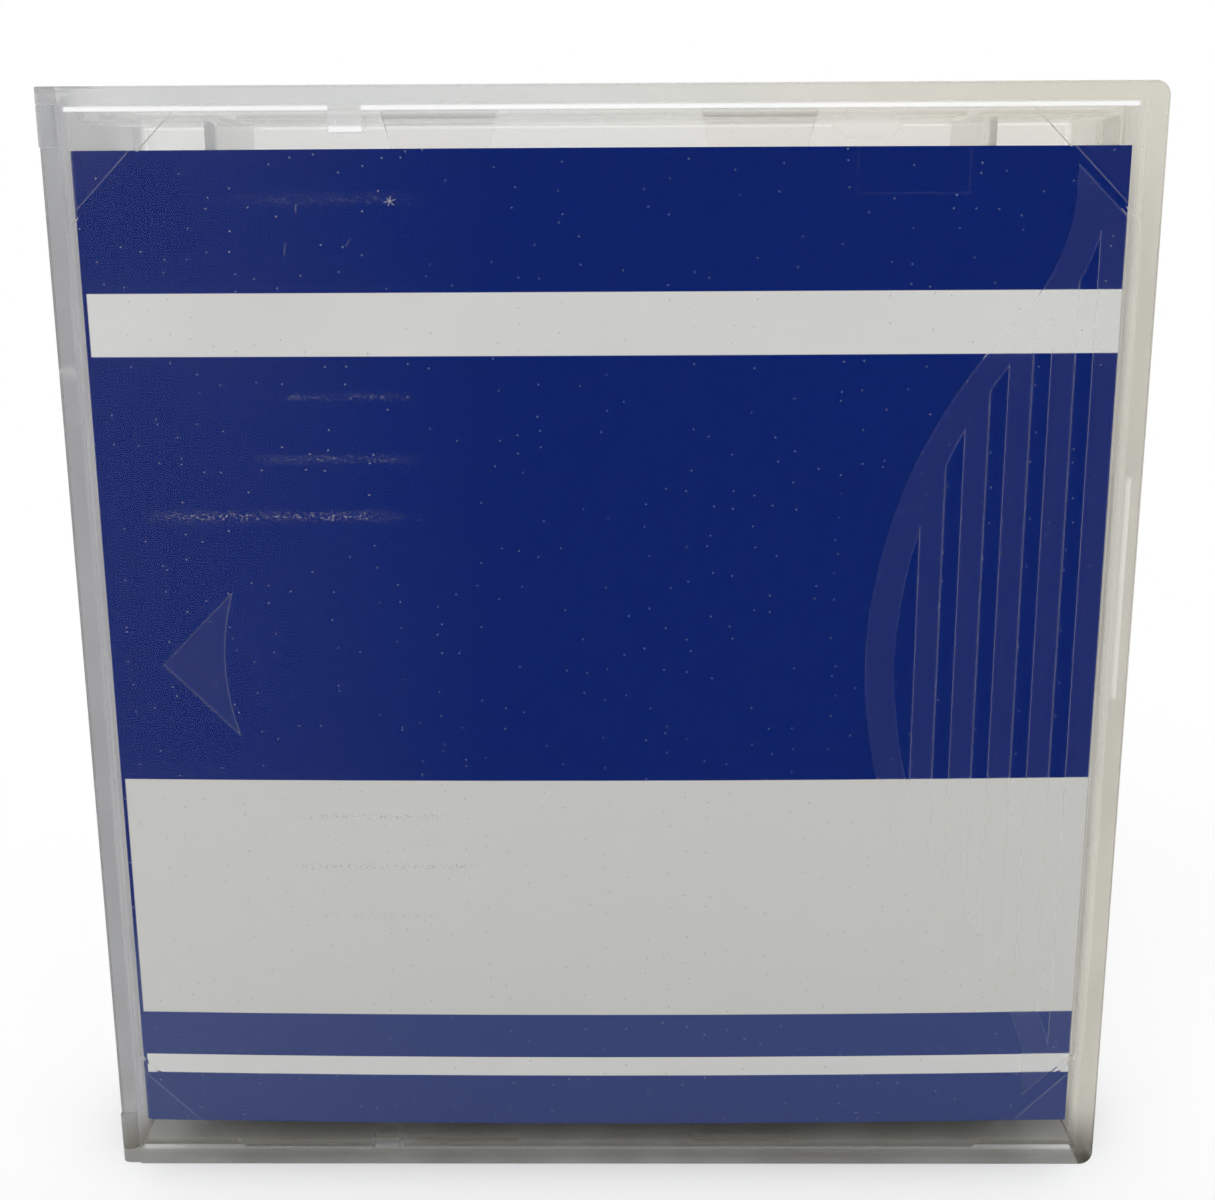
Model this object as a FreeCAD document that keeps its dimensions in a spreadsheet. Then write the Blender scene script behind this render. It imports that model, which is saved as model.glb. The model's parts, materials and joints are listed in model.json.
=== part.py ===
"""Half-inch data tape cartridge in its hinged clear storage case, with its printed inlay card.

Every piece is drawn lying on its back, in a flat frame: x to the right, y up the front of the case and
z from the back of the case (0) to its front. stand_up() then sets the piece on its narrow bottom edge,
so that flat x, y, z become X, Z and -Y, with the origin under the middle of the case.
"""
import FreeCAD, Part
import math
import os

import Sketcher

SIZES = [
    # storage case: overall
    ("hinge_side_space", 2.8),
    ("opening_side_space", 3.4),
    ("head_space", 6.65),
    ("card_clear", 0.25),
    ("case_wall", 1.6),
    ("case_panel", 1.4),
    ("case_corner", 1.5),
    ("case_edge", 0.4),
    ("lid_depth", 9.9),
    ("parting_gap", 0.2),
    ("lip_thick", 1.0),
    ("lip_overlap", 3.0),
    ("lip_root", 5.0),
    ("lip_gap", 0.1),
    # hinge down the left edge
    ("spine_thick", 2.2),
    ("spine_gap", 0.1),
    ("hinge_setback", 1.6),
    ("hinge_pin_radius", 0.5),
    ("hinge_pin_reach", 1.5),
    ("hinge_hole_gap", 0.08),
    ("spine_front_gap", 0.2),
    ("knuckle_length", 4.0),
    # ribs that hold the cartridge
    ("rail_height", 1.2),
    ("rail_width", 2.0),
    ("rail_spread", 30.0),
    ("rail_inset", 8.0),
    ("rib_thick", 1.6),
    ("seat_height", 5.0),
    ("seat_gap", 0.05),
    ("rib_spread", 40.0),
    ("inner_seat_spread", 16.0),
    ("side_rib_offset", 32.0),
    ("rib_gap", 0.25),
    # thumb recess at the opening edge
    ("thumb_width", 24.4),
    ("thumb_lift", 7.45),
    ("thumb_deep", 0.6),
    ("thumb_reach", 5.0),
    # stops, corner webs and card tabs of the lid
    ("stop_inset", 30.95),
    ("stop_width", 3.4),
    ("stop_thick", 1.4),
    ("stop_top_drop", 2.8),
    ("stop_height", 4.4),
    ("web_leg", 12.0),
    ("web_thick", 0.5),
    ("card_tab_near", 10.0),
    ("card_tab_far", 22.0),
    ("card_tab_slope", 1.5),
    ("card_tab_thick", 0.65),
    ("card_tab_gap", 0.3),
    ("card_tab_grip", 1.3),
    # frosted relief on the face of the lid
    ("relief_deep", 0.2),
    ("harp_lift", 0.45),
    ("harp_reach", 28.0),
    ("harp_radius", 52.5),
    ("harp_turn", 36.0),
    ("harp_end_radius", 18.7),
    ("harp_half", 51.2),
    ("harp_inset", 3.3),
    ("harp_band", 3.1),
    ("harp_web_cut", 5.3),
    ("bar_inset", 22.8),
    ("bar_width", 2.4),
    ("bar_pitch", 4.2),
    ("arrow_inset", 9.2),
    ("arrow_length", 7.8),
    ("arrow_half", 7.9),
    ("arrow_bow", 26.0),
    ("lens_inset", 33.1),
    ("lens_length", 7.1),
    ("lens_drop", 2.8),
    ("lens_tall", 2.5),
    ("lens_nib", 1.6),
    # inlay card
    ("card_left_gap", 0.5),
    ("card_right_gap", 1.2),
    ("card_top_gap", 4.4),
    ("card_thick", 0.25),
    ("card_bow", 0.9),
    ("card_gap", 0.1),
    # cartridge shells
    ("shell_width", 102.0),
    ("reel_end_space", 2.2),
    ("reel_head_room", 1.8),
    ("shell_wall", 2.0),
    ("shell_floor", 1.8),
    ("shell_corner", 3.0),
    ("shell_inner_corner", 0.3),
    ("shell_edge", 0.6),
    ("boss_gap", 2.75),
    ("boss_radius", 3.2),
    ("screw_hole_radius", 1.45),
    ("pilot_radius", 1.27),
    ("pilot_depth", 6.0),
    ("head_hole_radius", 2.8),
    ("head_hole_depth", 2.1),
    ("hub_hole_gap", 1.0),
    ("rim_width", 2.5),
    ("rim_height", 0.6),
    ("datum_radius", 2.6),
    ("datum_depth", 1.0),
    ("datum_side_inset", 15.0),
    ("datum_front_inset", 8.7),
    ("notch_deep", 1.2),
    ("notch_place", -30.0),
    ("notch_width", 6.0),
    ("notch_height", 5.0),
    ("top_recess_deep", 0.4),
    ("top_recess_half", 34.0),
    ("top_recess_low", -24.0),
    ("top_recess_high", 36.0),
    ("grip_count", 7),
    ("grip_pitch", 2.4),
    ("grip_width", 1.1),
    ("grip_length", 7.0),
    ("grip_inset", 2.5),
    ("grip_start", 20.0),
    ("grip_deep", 0.5),
    ("mark_inset", 8.7),
    ("mark_length", 10.0),
    ("mark_half", 7.0),
    ("mark_deep", 0.3),
    # label on the rear edge
    ("label_switch_side", 24.0),
    ("label_far_side", 10.0),
    ("label_rise", 3.0),
    ("label_deep", 0.4),
    ("label_thick", 0.15),
    ("label_margin", 0.3),
    # screws
    ("screw_radius", 1.25),
    ("screw_length", 11.0),
    ("screw_head_radius", 2.5),
    ("screw_head_height", 1.5),
    ("screw_slot_width", 0.7),
    ("screw_slot_half", 1.5),
    ("screw_slot_deep", 0.8),
    ("screw_sink", 0.6),
    # reel
    ("reel_gap", 0.05),
    ("flange_gap", 0.5),
    ("flange_thick", 1.2),
    ("hub_radius", 22.0),
    ("hub_wall", 2.1),
    ("skirt_inset", 0.7),
    ("web_rise", 0.55),
    ("web_thick_hub", 1.6),
    ("web_bore", 3.0),
    ("tape_width", 12.65),
    ("tape_gap", 0.2),
    ("pack_margin", 1.65),
    ("tape_film", 0.1),
    ("collar_thick", 1.15),
    ("collar_drop", 1.65),
    ("collar_gap", 0.05),
    ("tooth_count", 60),
    ("tooth_root", 0.62),
    ("tooth_tip", 0.4),
    ("drive_tooth_long", 3.0),
    ("drive_tooth_inset", 2.4),
    ("drive_tooth_high", 1.05),
    ("lock_tooth_long", 3.5),
    ("lock_tooth_inset", 2.9),
    ("lock_tooth_high", 1.2),
    ("disc_thick", 0.6),
    ("disc_in", 4.0),
    ("disc_gap", 0.3),
    ("disc_hole_radius", 0.8),
    # brake and release plate
    ("brake_edge", 0.2),
    ("brake_thick", 1.6),
    ("mesh_gap", 0.15),
    ("brake_post_radius", 7.0),
    ("brake_post_high", 6.45),
    ("brake_socket_web", 0.2),
    ("cross_long", 8.0),
    ("cross_thick", 1.6),
    ("cross_gap", 0.2),
    ("cross_clear", 0.75),
    ("brake_dome_radius", 3.0),
    ("brake_travel", 2.0),
    ("plate_edge", 0.1),
    ("plate_thick", 0.7),
    ("plate_gap", 0.05),
    ("plate_window_inset", 3.8),
    ("plate_window_radius", 2.6),
    ("leg_inset", 2.1),
    ("leg_deep", 2.2),
    ("leg_wide", 2.6),
    ("leg_low", 1.2),
    ("leg_gap", 0.2),
    ("coil_post_gap", 2.0),
    ("coil_wire", 0.4),
    ("coil_turns", 5.0),
    ("coil_seat_wall", 1.0),
    ("coil_seat_gap", 0.3),
    ("coil_seat_drop", 1.5),
    # leader pin and its clip
    ("pin_inset", 5.5),
    ("pin_low", 1.9),
    ("pin_end_radius", 2.5),
    ("pin_end_height", 0.7),
    ("pin_neck_radius", 1.5),
    ("pin_neck_height", 0.6),
    ("pin_collar_radius", 2.4),
    ("pin_collar_height", 0.5),
    ("pin_body_radius", 1.8),
    ("clip_gap", 0.1),
    ("clip_thick", 0.55),
    ("clip_inset", 0.5),
    ("retainer_gap", 0.12),
    ("retainer_thick", 0.3),
    ("retainer_height", 0.6),
    ("retainer_mouth", 1.9),
    ("cradle_radius", 3.0),
    ("cradle_front", 2.9),
    ("cradle_back", 4.3),
    ("cradle_side", 3.6),
    ("cradle_height", 1.6),
    # access door
    ("door_thick", 1.4),
    ("door_gap", 0.12),
    ("door_front_gap", 0.2),
    ("door_length", 16.1),
    ("door_travel", 13.0),
    ("door_groove_deep", 0.8),
    ("opening_inset", 0.7),
    ("opening_long", 15.0),
    ("opening_margin", 2.5),
    ("door_ridge_width", 1.2),
    ("door_ridge_reach", 1.5),
    ("door_ridge_low", 5.0),
    ("door_ridge_high", 16.5),
    ("door_seat_thick", 1.2),
    ("door_seat_high", 2.9),
    ("door_coil_shut", 7.4),
    ("door_stop_thick", 1.5),
    ("door_stop_gap", 0.24),
    ("door_stop_high", 12.3),
    ("door_coil_radius", 1.15),
    ("door_coil_wire", 0.16),
    ("door_coil_turns", 14.0),
    ("coil_end_gap", 0.1),
    # write-protect switch
    ("switch_inset", 3.5),
    ("switch_long", 7.0),
    ("switch_low", 3.8),
    ("switch_high", 9.2),
    ("switch_deep", 2.9),
    ("switch_gap", 0.12),
    ("switch_travel", 4.2),
    ("switch_thumb_wide", 3.0),
    ("switch_thumb_high", 3.8),
    ("switch_thumb_sunk", 0.3),
    ("switch_groove_wide", 0.4),
    ("switch_groove_place", 0.55),
    ("switch_window_gap", 0.4),
    ("switch_rib_thick", 1.0),
    ("switch_rib_top", 4.5),
    # memory chip
    ("chip_side_inset", 6.4),
    ("chip_back_inset", 6.3),
    ("chip_length", 12.0),
    ("chip_thick", 1.0),
    ("chip_height", 8.0),
    ("chip_gap", 0.06),
    ("chip_rib_length", 4.0),
    ("chip_rib_thick", 1.0),
    ("chip_rib_top", 4.0),
]

HALF_ROOT = math.sqrt(0.5)


class Size:
    """A length that knows both its number and the sheet expression it comes from."""

    def __init__(self, number, text):
        self.number = number
        self.text = text

    def __add__(self, other):
        other = as_size(other)
        return Size(self.number + other.number, "(%s + %s)" % (self.text, other.text))

    def __sub__(self, other):
        other = as_size(other)
        return Size(self.number - other.number, "(%s - %s)" % (self.text, other.text))

    def __mul__(self, other):
        other = as_size(other)
        return Size(self.number * other.number, "(%s * %s)" % (self.text, other.text))

    def __truediv__(self, other):
        other = as_size(other)
        return Size(self.number / other.number, "(%s / %s)" % (self.text, other.text))

    def __radd__(self, other):
        return as_size(other) + self

    def __rsub__(self, other):
        return as_size(other) - self

    def __rmul__(self, other):
        return as_size(other) * self

    def __neg__(self):
        return Size(-self.number, "(-1 * %s)" % self.text)


def as_size(value):
    if isinstance(value, Size):
        return value
    return Size(float(value), "(%.9f)" % value)


def root(size):
    """Square root of a size."""
    return Size(math.sqrt(size.number), "sqrt(%s)" % size.text)


doc = FreeCAD.newDocument("TapeCartridge")
sheet = doc.addObject("Spreadsheet::Sheet", "Sizes")
for row, (alias, value) in enumerate(SIZES, start=1):
    sheet.set("A%d" % row, alias)
    sheet.set("B%d" % row, str(value))
    sheet.setAlias("B%d" % row, alias)
doc.recompute()


class Values:
    """The sheet's cells by name, each as a Size."""

    def __getattr__(self, name):
        return Size(float(getattr(sheet, name)), "Sizes.%s" % name)


v = Values()

# ---------------------------------------------------------------- cartridge: places and outer sizes
inner_half_x = v.shell_width / 2 - v.shell_wall
flange_radius = inner_half_x - v.flange_gap
pack_radius = flange_radius - v.pack_margin
inner_half_y = flange_radius + v.reel_end_space
shell_length = (inner_half_y + v.shell_wall) * 2

reel_low = v.shell_floor + v.rim_height + v.reel_gap
tape_floor = reel_low + v.flange_thick
tape_low = tape_floor + v.tape_gap
tape_high = tape_low + v.tape_width
flange_seat = tape_high + v.tape_gap
ceiling = flange_seat + v.flange_thick + v.reel_head_room
shell_height = ceiling + v.shell_floor
shell_seam = shell_height / 2

hub_bore = v.hub_radius - v.hub_wall
web_low = reel_low + v.web_rise
web_high = web_low + v.web_thick_hub
drive_tooth_out = hub_bore - v.drive_tooth_inset
drive_tooth_in = drive_tooth_out - v.drive_tooth_long
hub_hole_radius = drive_tooth_out + v.hub_hole_gap
hub_skirt = hub_hole_radius + v.skirt_inset
rim_radius = hub_hole_radius + v.rim_width

lock_tooth_out = hub_bore - v.lock_tooth_inset
lock_tooth_in = lock_tooth_out - v.lock_tooth_long
lock_root = web_high + v.lock_tooth_high + v.mesh_gap
leg_ring = lock_tooth_in - v.leg_inset
disc_out = leg_ring - v.leg_deep / 2 - v.leg_gap - v.disc_gap
disc_hole_ring = (disc_out + v.disc_in) / 2
plate_radius = leg_ring + v.leg_deep / 2 + v.plate_edge
plate_window_ring = leg_ring - v.plate_window_inset
plate_low = web_high + v.plate_gap
plate_high = plate_low + v.plate_thick

brake_radius = lock_tooth_out + v.brake_edge
spring_floor = lock_root + v.brake_thick
brake_socket_floor = spring_floor + v.brake_socket_web
brake_post_top = spring_floor + v.brake_post_high
cross_low = brake_socket_floor + v.brake_travel + v.cross_clear
coil_radius = v.brake_post_radius + v.coil_post_gap
coil_seat_out = coil_radius - v.coil_wire - v.coil_seat_gap
coil_seat_in = coil_seat_out - v.coil_seat_wall

boss_place = (flange_radius + v.boss_radius + v.boss_gap) * HALF_ROOT
lead_y = -(pack_radius + v.tape_film / 2 + v.reel_gap)
pin_place = v.pin_inset - inner_half_x
pin_y = lead_y + v.tape_film / 2 + v.clip_gap / 2 + v.pin_body_radius
pin_high = shell_height - v.pin_low
clip_radius = v.pin_body_radius + v.clip_gap

door_outer = v.door_gap - inner_half_x
door_inner = door_outer + v.door_thick
door_front = v.door_front_gap - inner_half_y
door_back = door_front + v.door_length
door_stop = door_back + v.door_travel + v.door_coil_shut
door_coil_x = door_outer + v.door_coil_radius + v.door_coil_wire
opening_front = v.opening_inset - inner_half_y
opening_back = opening_front + v.opening_long
opening_low = v.opening_margin
opening_high = shell_height - v.opening_margin
stop_end = door_stop + v.door_stop_thick
flange_side = root(flange_radius * flange_radius - stop_end * stop_end)
door_stop_wide = inner_half_x - flange_side - v.door_stop_gap

switch_left = v.switch_inset - inner_half_x
switch_right = switch_left + v.switch_long
chip_centre_x = inner_half_x - v.chip_side_inset
chip_centre_y = inner_half_y - v.chip_back_inset
datum_side = v.shell_width / 2 - v.datum_side_inset
datum_back = shell_length / 2 - v.datum_front_inset
mark_tip = v.mark_inset - shell_length / 2
mark_back = mark_tip + v.mark_length
label_left = v.label_switch_side - v.shell_width / 2
label_right = v.shell_width / 2 - v.label_far_side
label_low = v.label_rise
label_high = shell_height - v.label_rise

# ---------------------------------------------------------------- storage case: places and outer sizes
case_width = (v.spine_thick + v.hinge_side_space + v.shell_width + v.opening_side_space + v.case_wall)
case_height = v.seat_height + v.seat_gap + shell_length + v.head_space + v.case_wall
seat_z = v.case_panel + v.rail_height
panel_inside = seat_z + shell_height + v.card_clear + v.card_thick + v.card_bow + v.card_gap
case_depth = panel_inside + v.case_panel
case_right = case_width / 2
case_left = -case_right
inner_right = case_right - v.case_wall
base_rim = case_depth - v.lid_depth - v.parting_gap
lid_rim = case_depth - v.lid_depth
rib_top = base_rim + v.lip_overlap
spine_inside = case_left + v.spine_thick
lid_left = spine_inside + v.spine_gap
hinge_x = case_left + v.spine_thick / 2
hinge_z = case_depth - v.hinge_setback
knuckle_radius = v.spine_thick / 2
spine_front = hinge_z - v.spine_front_gap

cartridge_x = spine_inside + v.hinge_side_space + v.shell_width / 2
cartridge_y = v.seat_height + v.seat_gap + shell_length / 2
cartridge_top = cartridge_y + shell_length / 2

card_left = lid_left + v.card_left_gap
card_right = inner_right - v.card_right_gap
card_low = v.stop_height + v.card_gap
card_high = case_height - v.case_wall - v.card_top_gap
stop_place = case_left + v.stop_inset
thumb_height = case_height / 2 + v.thumb_lift
harp_height = case_height / 2 + v.harp_lift
harp_centre = case_right - v.harp_reach + v.harp_radius
harp_right = case_right - v.harp_inset
bar_start = case_right - v.bar_inset
arrow_tip = case_left + v.arrow_inset
arrow_back = arrow_tip + v.arrow_length
lens_left = case_right - v.lens_inset
lens_right = lens_left + v.lens_length
lens_high = case_height - v.lens_drop
lens_low = lens_high - v.lens_tall


# ---------------------------------------------------------------- drawing helpers
def new_body(name):
    body = doc.addObject("PartDesign::Body", name)
    body.Label = name
    return body


def origin_feature(body, role):
    return next(item for item in body.Origin.OriginFeatures if item.Role == role)


def new_sketch(body, level=0, plane="XY_Plane"):
    """Sketch on one of the body's own origin planes, moved along the plane's normal by level."""
    sketch = body.newObject("Sketcher::SketchObject", body.Name + "_sketch")
    sketch.AttachmentSupport = [(origin_feature(body, plane), "")]
    sketch.MapMode = "FlatFace"
    sketch.setExpression("AttachmentOffset.Base.z", as_size(level).text)
    return sketch


def pin_point(sketch, geometry, end, x, y):
    """Fix one point of a sketch's line, arc or circle at x, y from the sketch's origin."""
    for kind, value in (("DistanceX", as_size(x)), ("DistanceY", as_size(y))):
        index = sketch.addConstraint(Sketcher.Constraint(kind, -1, 1, geometry, end, value.number))
        sketch.setExpression("Constraints[%d]" % index, value.text)


def circle(sketch, x, y, radius):
    x, y, radius = as_size(x), as_size(y), as_size(radius)
    centre = FreeCAD.Vector(x.number, y.number, 0)
    index = sketch.addGeometry(Part.Circle(centre, FreeCAD.Vector(0, 0, 1), radius.number), False)
    pin_point(sketch, index, 3, x, y)
    bound = sketch.addConstraint(Sketcher.Constraint("Radius", index, radius.number))
    sketch.setExpression("Constraints[%d]" % bound, radius.text)


def side_geometry(start, finish, radius):
    """Line, or arc of the given radius: positive turns left on its way, negative turns right."""
    if radius is None:
        return Part.LineSegment(start, finish), 1, 2
    chord = finish - start
    rise = math.sqrt(max(radius * radius - chord.Length ** 2 / 4, 0))
    across = FreeCAD.Vector(-chord.y, chord.x, 0).normalize() * math.copysign(rise, radius)
    centre = (start + finish) / 2 + across
    first, last = (start, finish) if radius > 0 else (finish, start)
    low = math.atan2(first.y - centre.y, first.x - centre.x)
    high = math.atan2(last.y - centre.y, last.x - centre.x)
    if high <= low:
        high += 2 * math.pi
    ring = Part.Circle(centre, FreeCAD.Vector(0, 0, 1), abs(radius))
    return Part.ArcOfCircle(ring, low, high), (1 if radius > 0 else 2), (2 if radius > 0 else 1)


def loop(sketch, corners):
    """Closed outline through corners (x, y); a third value is the radius of the side that leaves."""
    corners = [tuple(as_size(value) for value in corner) for corner in corners]
    points = [FreeCAD.Vector(corner[0].number, corner[1].number, 0) for corner in corners]
    ends = []
    for place, corner in enumerate(corners):
        radius = corner[2] if len(corner) == 3 else None
        finish = points[(place + 1) % len(points)]
        shape, first, last = side_geometry(points[place], finish, radius.number if radius else None)
        index = sketch.addGeometry(shape, False)
        pin_point(sketch, index, first, corner[0], corner[1])
        if radius:
            size = -radius if radius.number < 0 else radius
            bound = sketch.addConstraint(Sketcher.Constraint("Radius", index, size.number))
            sketch.setExpression("Constraints[%d]" % bound, size.text)
        ends.append((index, first, last))
    for place, (index, _, last) in enumerate(ends):
        following, first, _ = ends[(place + 1) % len(ends)]
        sketch.addConstraint(Sketcher.Constraint("Coincident", index, last, following, first))


def rectangle(sketch, left, low, right, high):
    loop(sketch, [(left, low), (right, low), (right, high), (left, high)])


def rounded(sketch, left, low, right, high, radius):
    left, low, right, high = (as_size(value) for value in (left, low, right, high))
    loop(sketch, [
        (left + radius, low), (right - radius, low, radius),
        (right, low + radius), (right, high - radius, radius),
        (right - radius, high), (left + radius, high, radius),
        (left, high - radius), (left, low + radius, radius),
    ])


def feature(body, kind, sketch):
    item = body.newObject(kind, body.Name + "_" + kind.split("::")[1].lower())
    item.Profile = sketch
    sketch.Visibility = False
    return item


def pad(body, sketch, height):
    item = feature(body, "PartDesign::Pad", sketch)
    item.setExpression("Length", as_size(height).text)
    return item


def cut(body, sketch, height):
    """Pocket that runs from its sketch along the sketch's normal."""
    doc.recompute()
    before = body.Shape.Volume
    item = feature(body, "PartDesign::Pocket", sketch)
    item.Reversed = True
    item.setExpression("Length", as_size(height).text)
    doc.recompute()
    if not body.Shape.Volume < before:
        raise RuntimeError("a pocket of %s cuts nothing" % body.Label)
    return item


def pad_box(body, left, low, right, high, bottom, top):
    sketch = new_sketch(body, bottom)
    rectangle(sketch, left, low, right, high)
    return pad(body, sketch, as_size(top) - bottom)


def cut_box(body, left, low, right, high, bottom, top):
    sketch = new_sketch(body, bottom)
    rectangle(sketch, left, low, right, high)
    return cut(body, sketch, as_size(top) - bottom)


def pad_disc(body, x, y, radius, bottom, top, bore=None):
    sketch = new_sketch(body, bottom)
    circle(sketch, x, y, radius)
    if bore is not None:
        circle(sketch, x, y, bore)
    return pad(body, sketch, as_size(top) - bottom)


def cut_disc(body, x, y, radius, bottom, top):
    sketch = new_sketch(body, bottom)
    circle(sketch, x, y, radius)
    return cut(body, sketch, as_size(top) - bottom)


def along_y_sketch(body, high_y):
    """Sketch of an x, z section; what is padded from it runs down from high_y."""
    return new_sketch(body, -as_size(high_y), "XZ_Plane")


def revolve(body, corners):
    """Turned piece: an outline in radius and height, spun about the body's z axis."""
    sketch = new_sketch(body, 0, "XZ_Plane")
    loop(sketch, corners)
    item = feature(body, "PartDesign::Revolution", sketch)
    item.ReferenceAxis = (sketch, ["V_Axis"])
    item.Angle = 360
    return item


def around(body, originals, count):
    """Repeat features evenly round the body's z axis."""
    doc.recompute()
    item = body.newObject("PartDesign::PolarPattern", body.Name + "_ring")
    item.Originals = originals
    item.Axis = (origin_feature(body, "Z_Axis"), [""])
    item.Angle = 360
    item.setExpression("Occurrences", as_size(count).text)
    body.Tip = item
    return item


def edges(item, wanted):
    doc.recompute()
    return ["Edge%d" % place for place, edge in enumerate(item.Shape.Edges, start=1) if wanted(edge)]


def fillet(body, wanted, radius):
    carrier = body.Tip
    names = edges(carrier, wanted)
    item = body.newObject("PartDesign::Fillet", body.Name + "_fillet")
    item.Base = (carrier, names)
    item.setExpression("Radius", as_size(radius).text)
    doc.recompute()
    return item


def chamfer(body, wanted, size):
    carrier = body.Tip
    names = edges(carrier, wanted)
    item = body.newObject("PartDesign::Chamfer", body.Name + "_chamfer")
    item.Base = (carrier, names)
    item.setExpression("Size", as_size(size).text)
    doc.recompute()
    return item


def lies_at(level):
    """Test for the edges that lie flat at one height."""
    height = as_size(level).number
    return lambda edge: all(abs(vertex.Point.z - height) < 1e-4 for vertex in edge.Vertexes)


def stand_up(body, x=0, y=0, z=0, turn=0, upright=False):
    """Stand a piece up from the flat frame; x, y, z say where its own origin lies in that frame.

    An upright piece is drawn with its own z along the flat y, such as a spring along the case's height.
    """
    standing = FreeCAD.Rotation(FreeCAD.Vector(1, 0, 0), 0 if upright else 90)
    spun = FreeCAD.Rotation(FreeCAD.Vector(0, 0, 1), turn)
    body.Placement = FreeCAD.Placement(FreeCAD.Vector(0, 0, 0), standing.multiply(spun))
    body.setExpression("Placement.Base.x", as_size(x).text)
    body.setExpression("Placement.Base.y", (case_depth / 2 - z).text)
    body.setExpression("Placement.Base.z", as_size(y).text)
    return body


def in_cartridge(body, turn=0):
    return stand_up(body, cartridge_x, cartridge_y, seat_z, turn)


# ---------------------------------------------------------------- storage case
def make_case_base():
    """Tray of the case: back, spine, three walls with a lip inside, and ribs round the cartridge."""
    body = new_body("case_base")
    sketch = new_sketch(body)
    rounded(sketch, case_left, 0, case_right, case_height, v.case_corner)
    pad(body, sketch, base_rim)
    fillet(body, lies_at(0), v.case_edge)
    cut_box(body, spine_inside, v.case_wall, case_right - v.case_wall, case_height - v.case_wall,
            v.case_panel, base_rim)
    spine_low = v.case_wall + v.lip_gap
    spine_high = case_height - v.case_wall - v.lip_gap
    pad_box(body, case_left, spine_low, spine_inside, spine_high, base_rim, spine_front)
    for outer, bottom, top in (
        (v.case_wall, base_rim - v.lip_root, base_rim),
        (v.case_wall + v.lip_gap, base_rim, base_rim + v.lip_overlap),
    ):
        inner = v.case_wall + v.lip_gap + v.lip_thick
        sketch = new_sketch(body, bottom)
        loop(sketch, [
            (spine_inside, outer), (case_right - outer, outer),
            (case_right - outer, case_height - outer), (spine_inside, case_height - outer),
            (spine_inside, case_height - inner), (case_right - inner, case_height - inner),
            (case_right - inner, inner), (spine_inside, inner),
        ])
        pad(body, sketch, top - bottom)
    for high_y in (spine_low + v.knuckle_length, spine_high):
        sketch = along_y_sketch(body, high_y)
        circle(sketch, hinge_x, hinge_z, knuckle_radius)
        pad(body, sketch, v.knuckle_length)
    hole_depth = v.hinge_pin_reach + v.spine_gap * 2
    for high_y in (spine_low + hole_depth, spine_high):
        sketch = along_y_sketch(body, high_y)
        circle(sketch, hinge_x, hinge_z, v.hinge_pin_radius + v.hinge_hole_gap)
        cut(body, sketch, hole_depth)
    for side in (-1, 1):
        middle = v.rail_spread * side
        pad_box(body, middle - v.rail_width / 2, v.rail_inset, middle + v.rail_width / 2,
                case_height - v.rail_inset, v.case_panel, seat_z)
    for place in (-v.rib_spread, -v.inner_seat_spread, v.inner_seat_spread, v.rib_spread):
        pad_box(body, place - v.rib_thick / 2, v.case_wall, place + v.rib_thick / 2, v.seat_height,
                v.case_panel, rib_top)
    for place in (-v.rib_spread, v.rib_spread):
        pad_box(body, place - v.rib_thick / 2, cartridge_top + v.rib_gap, place + v.rib_thick / 2,
                case_height - v.case_wall, v.case_panel, rib_top)
    side_reach = v.shell_width / 2 + v.rib_gap
    for place in (cartridge_y - v.side_rib_offset, cartridge_y + v.side_rib_offset):
        low, high = place - v.rib_thick / 2, place + v.rib_thick / 2
        pad_box(body, spine_inside, low, cartridge_x - side_reach, high, v.case_panel, rib_top)
        pad_box(body, cartridge_x + side_reach, low, inner_right, high, v.case_panel, rib_top)
    cut_box(body, case_right - v.thumb_deep, thumb_height - v.thumb_width / 2, case_right,
            thumb_height + v.thumb_width / 2, base_rim - v.thumb_reach, base_rim)
    return stand_up(body)


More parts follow.
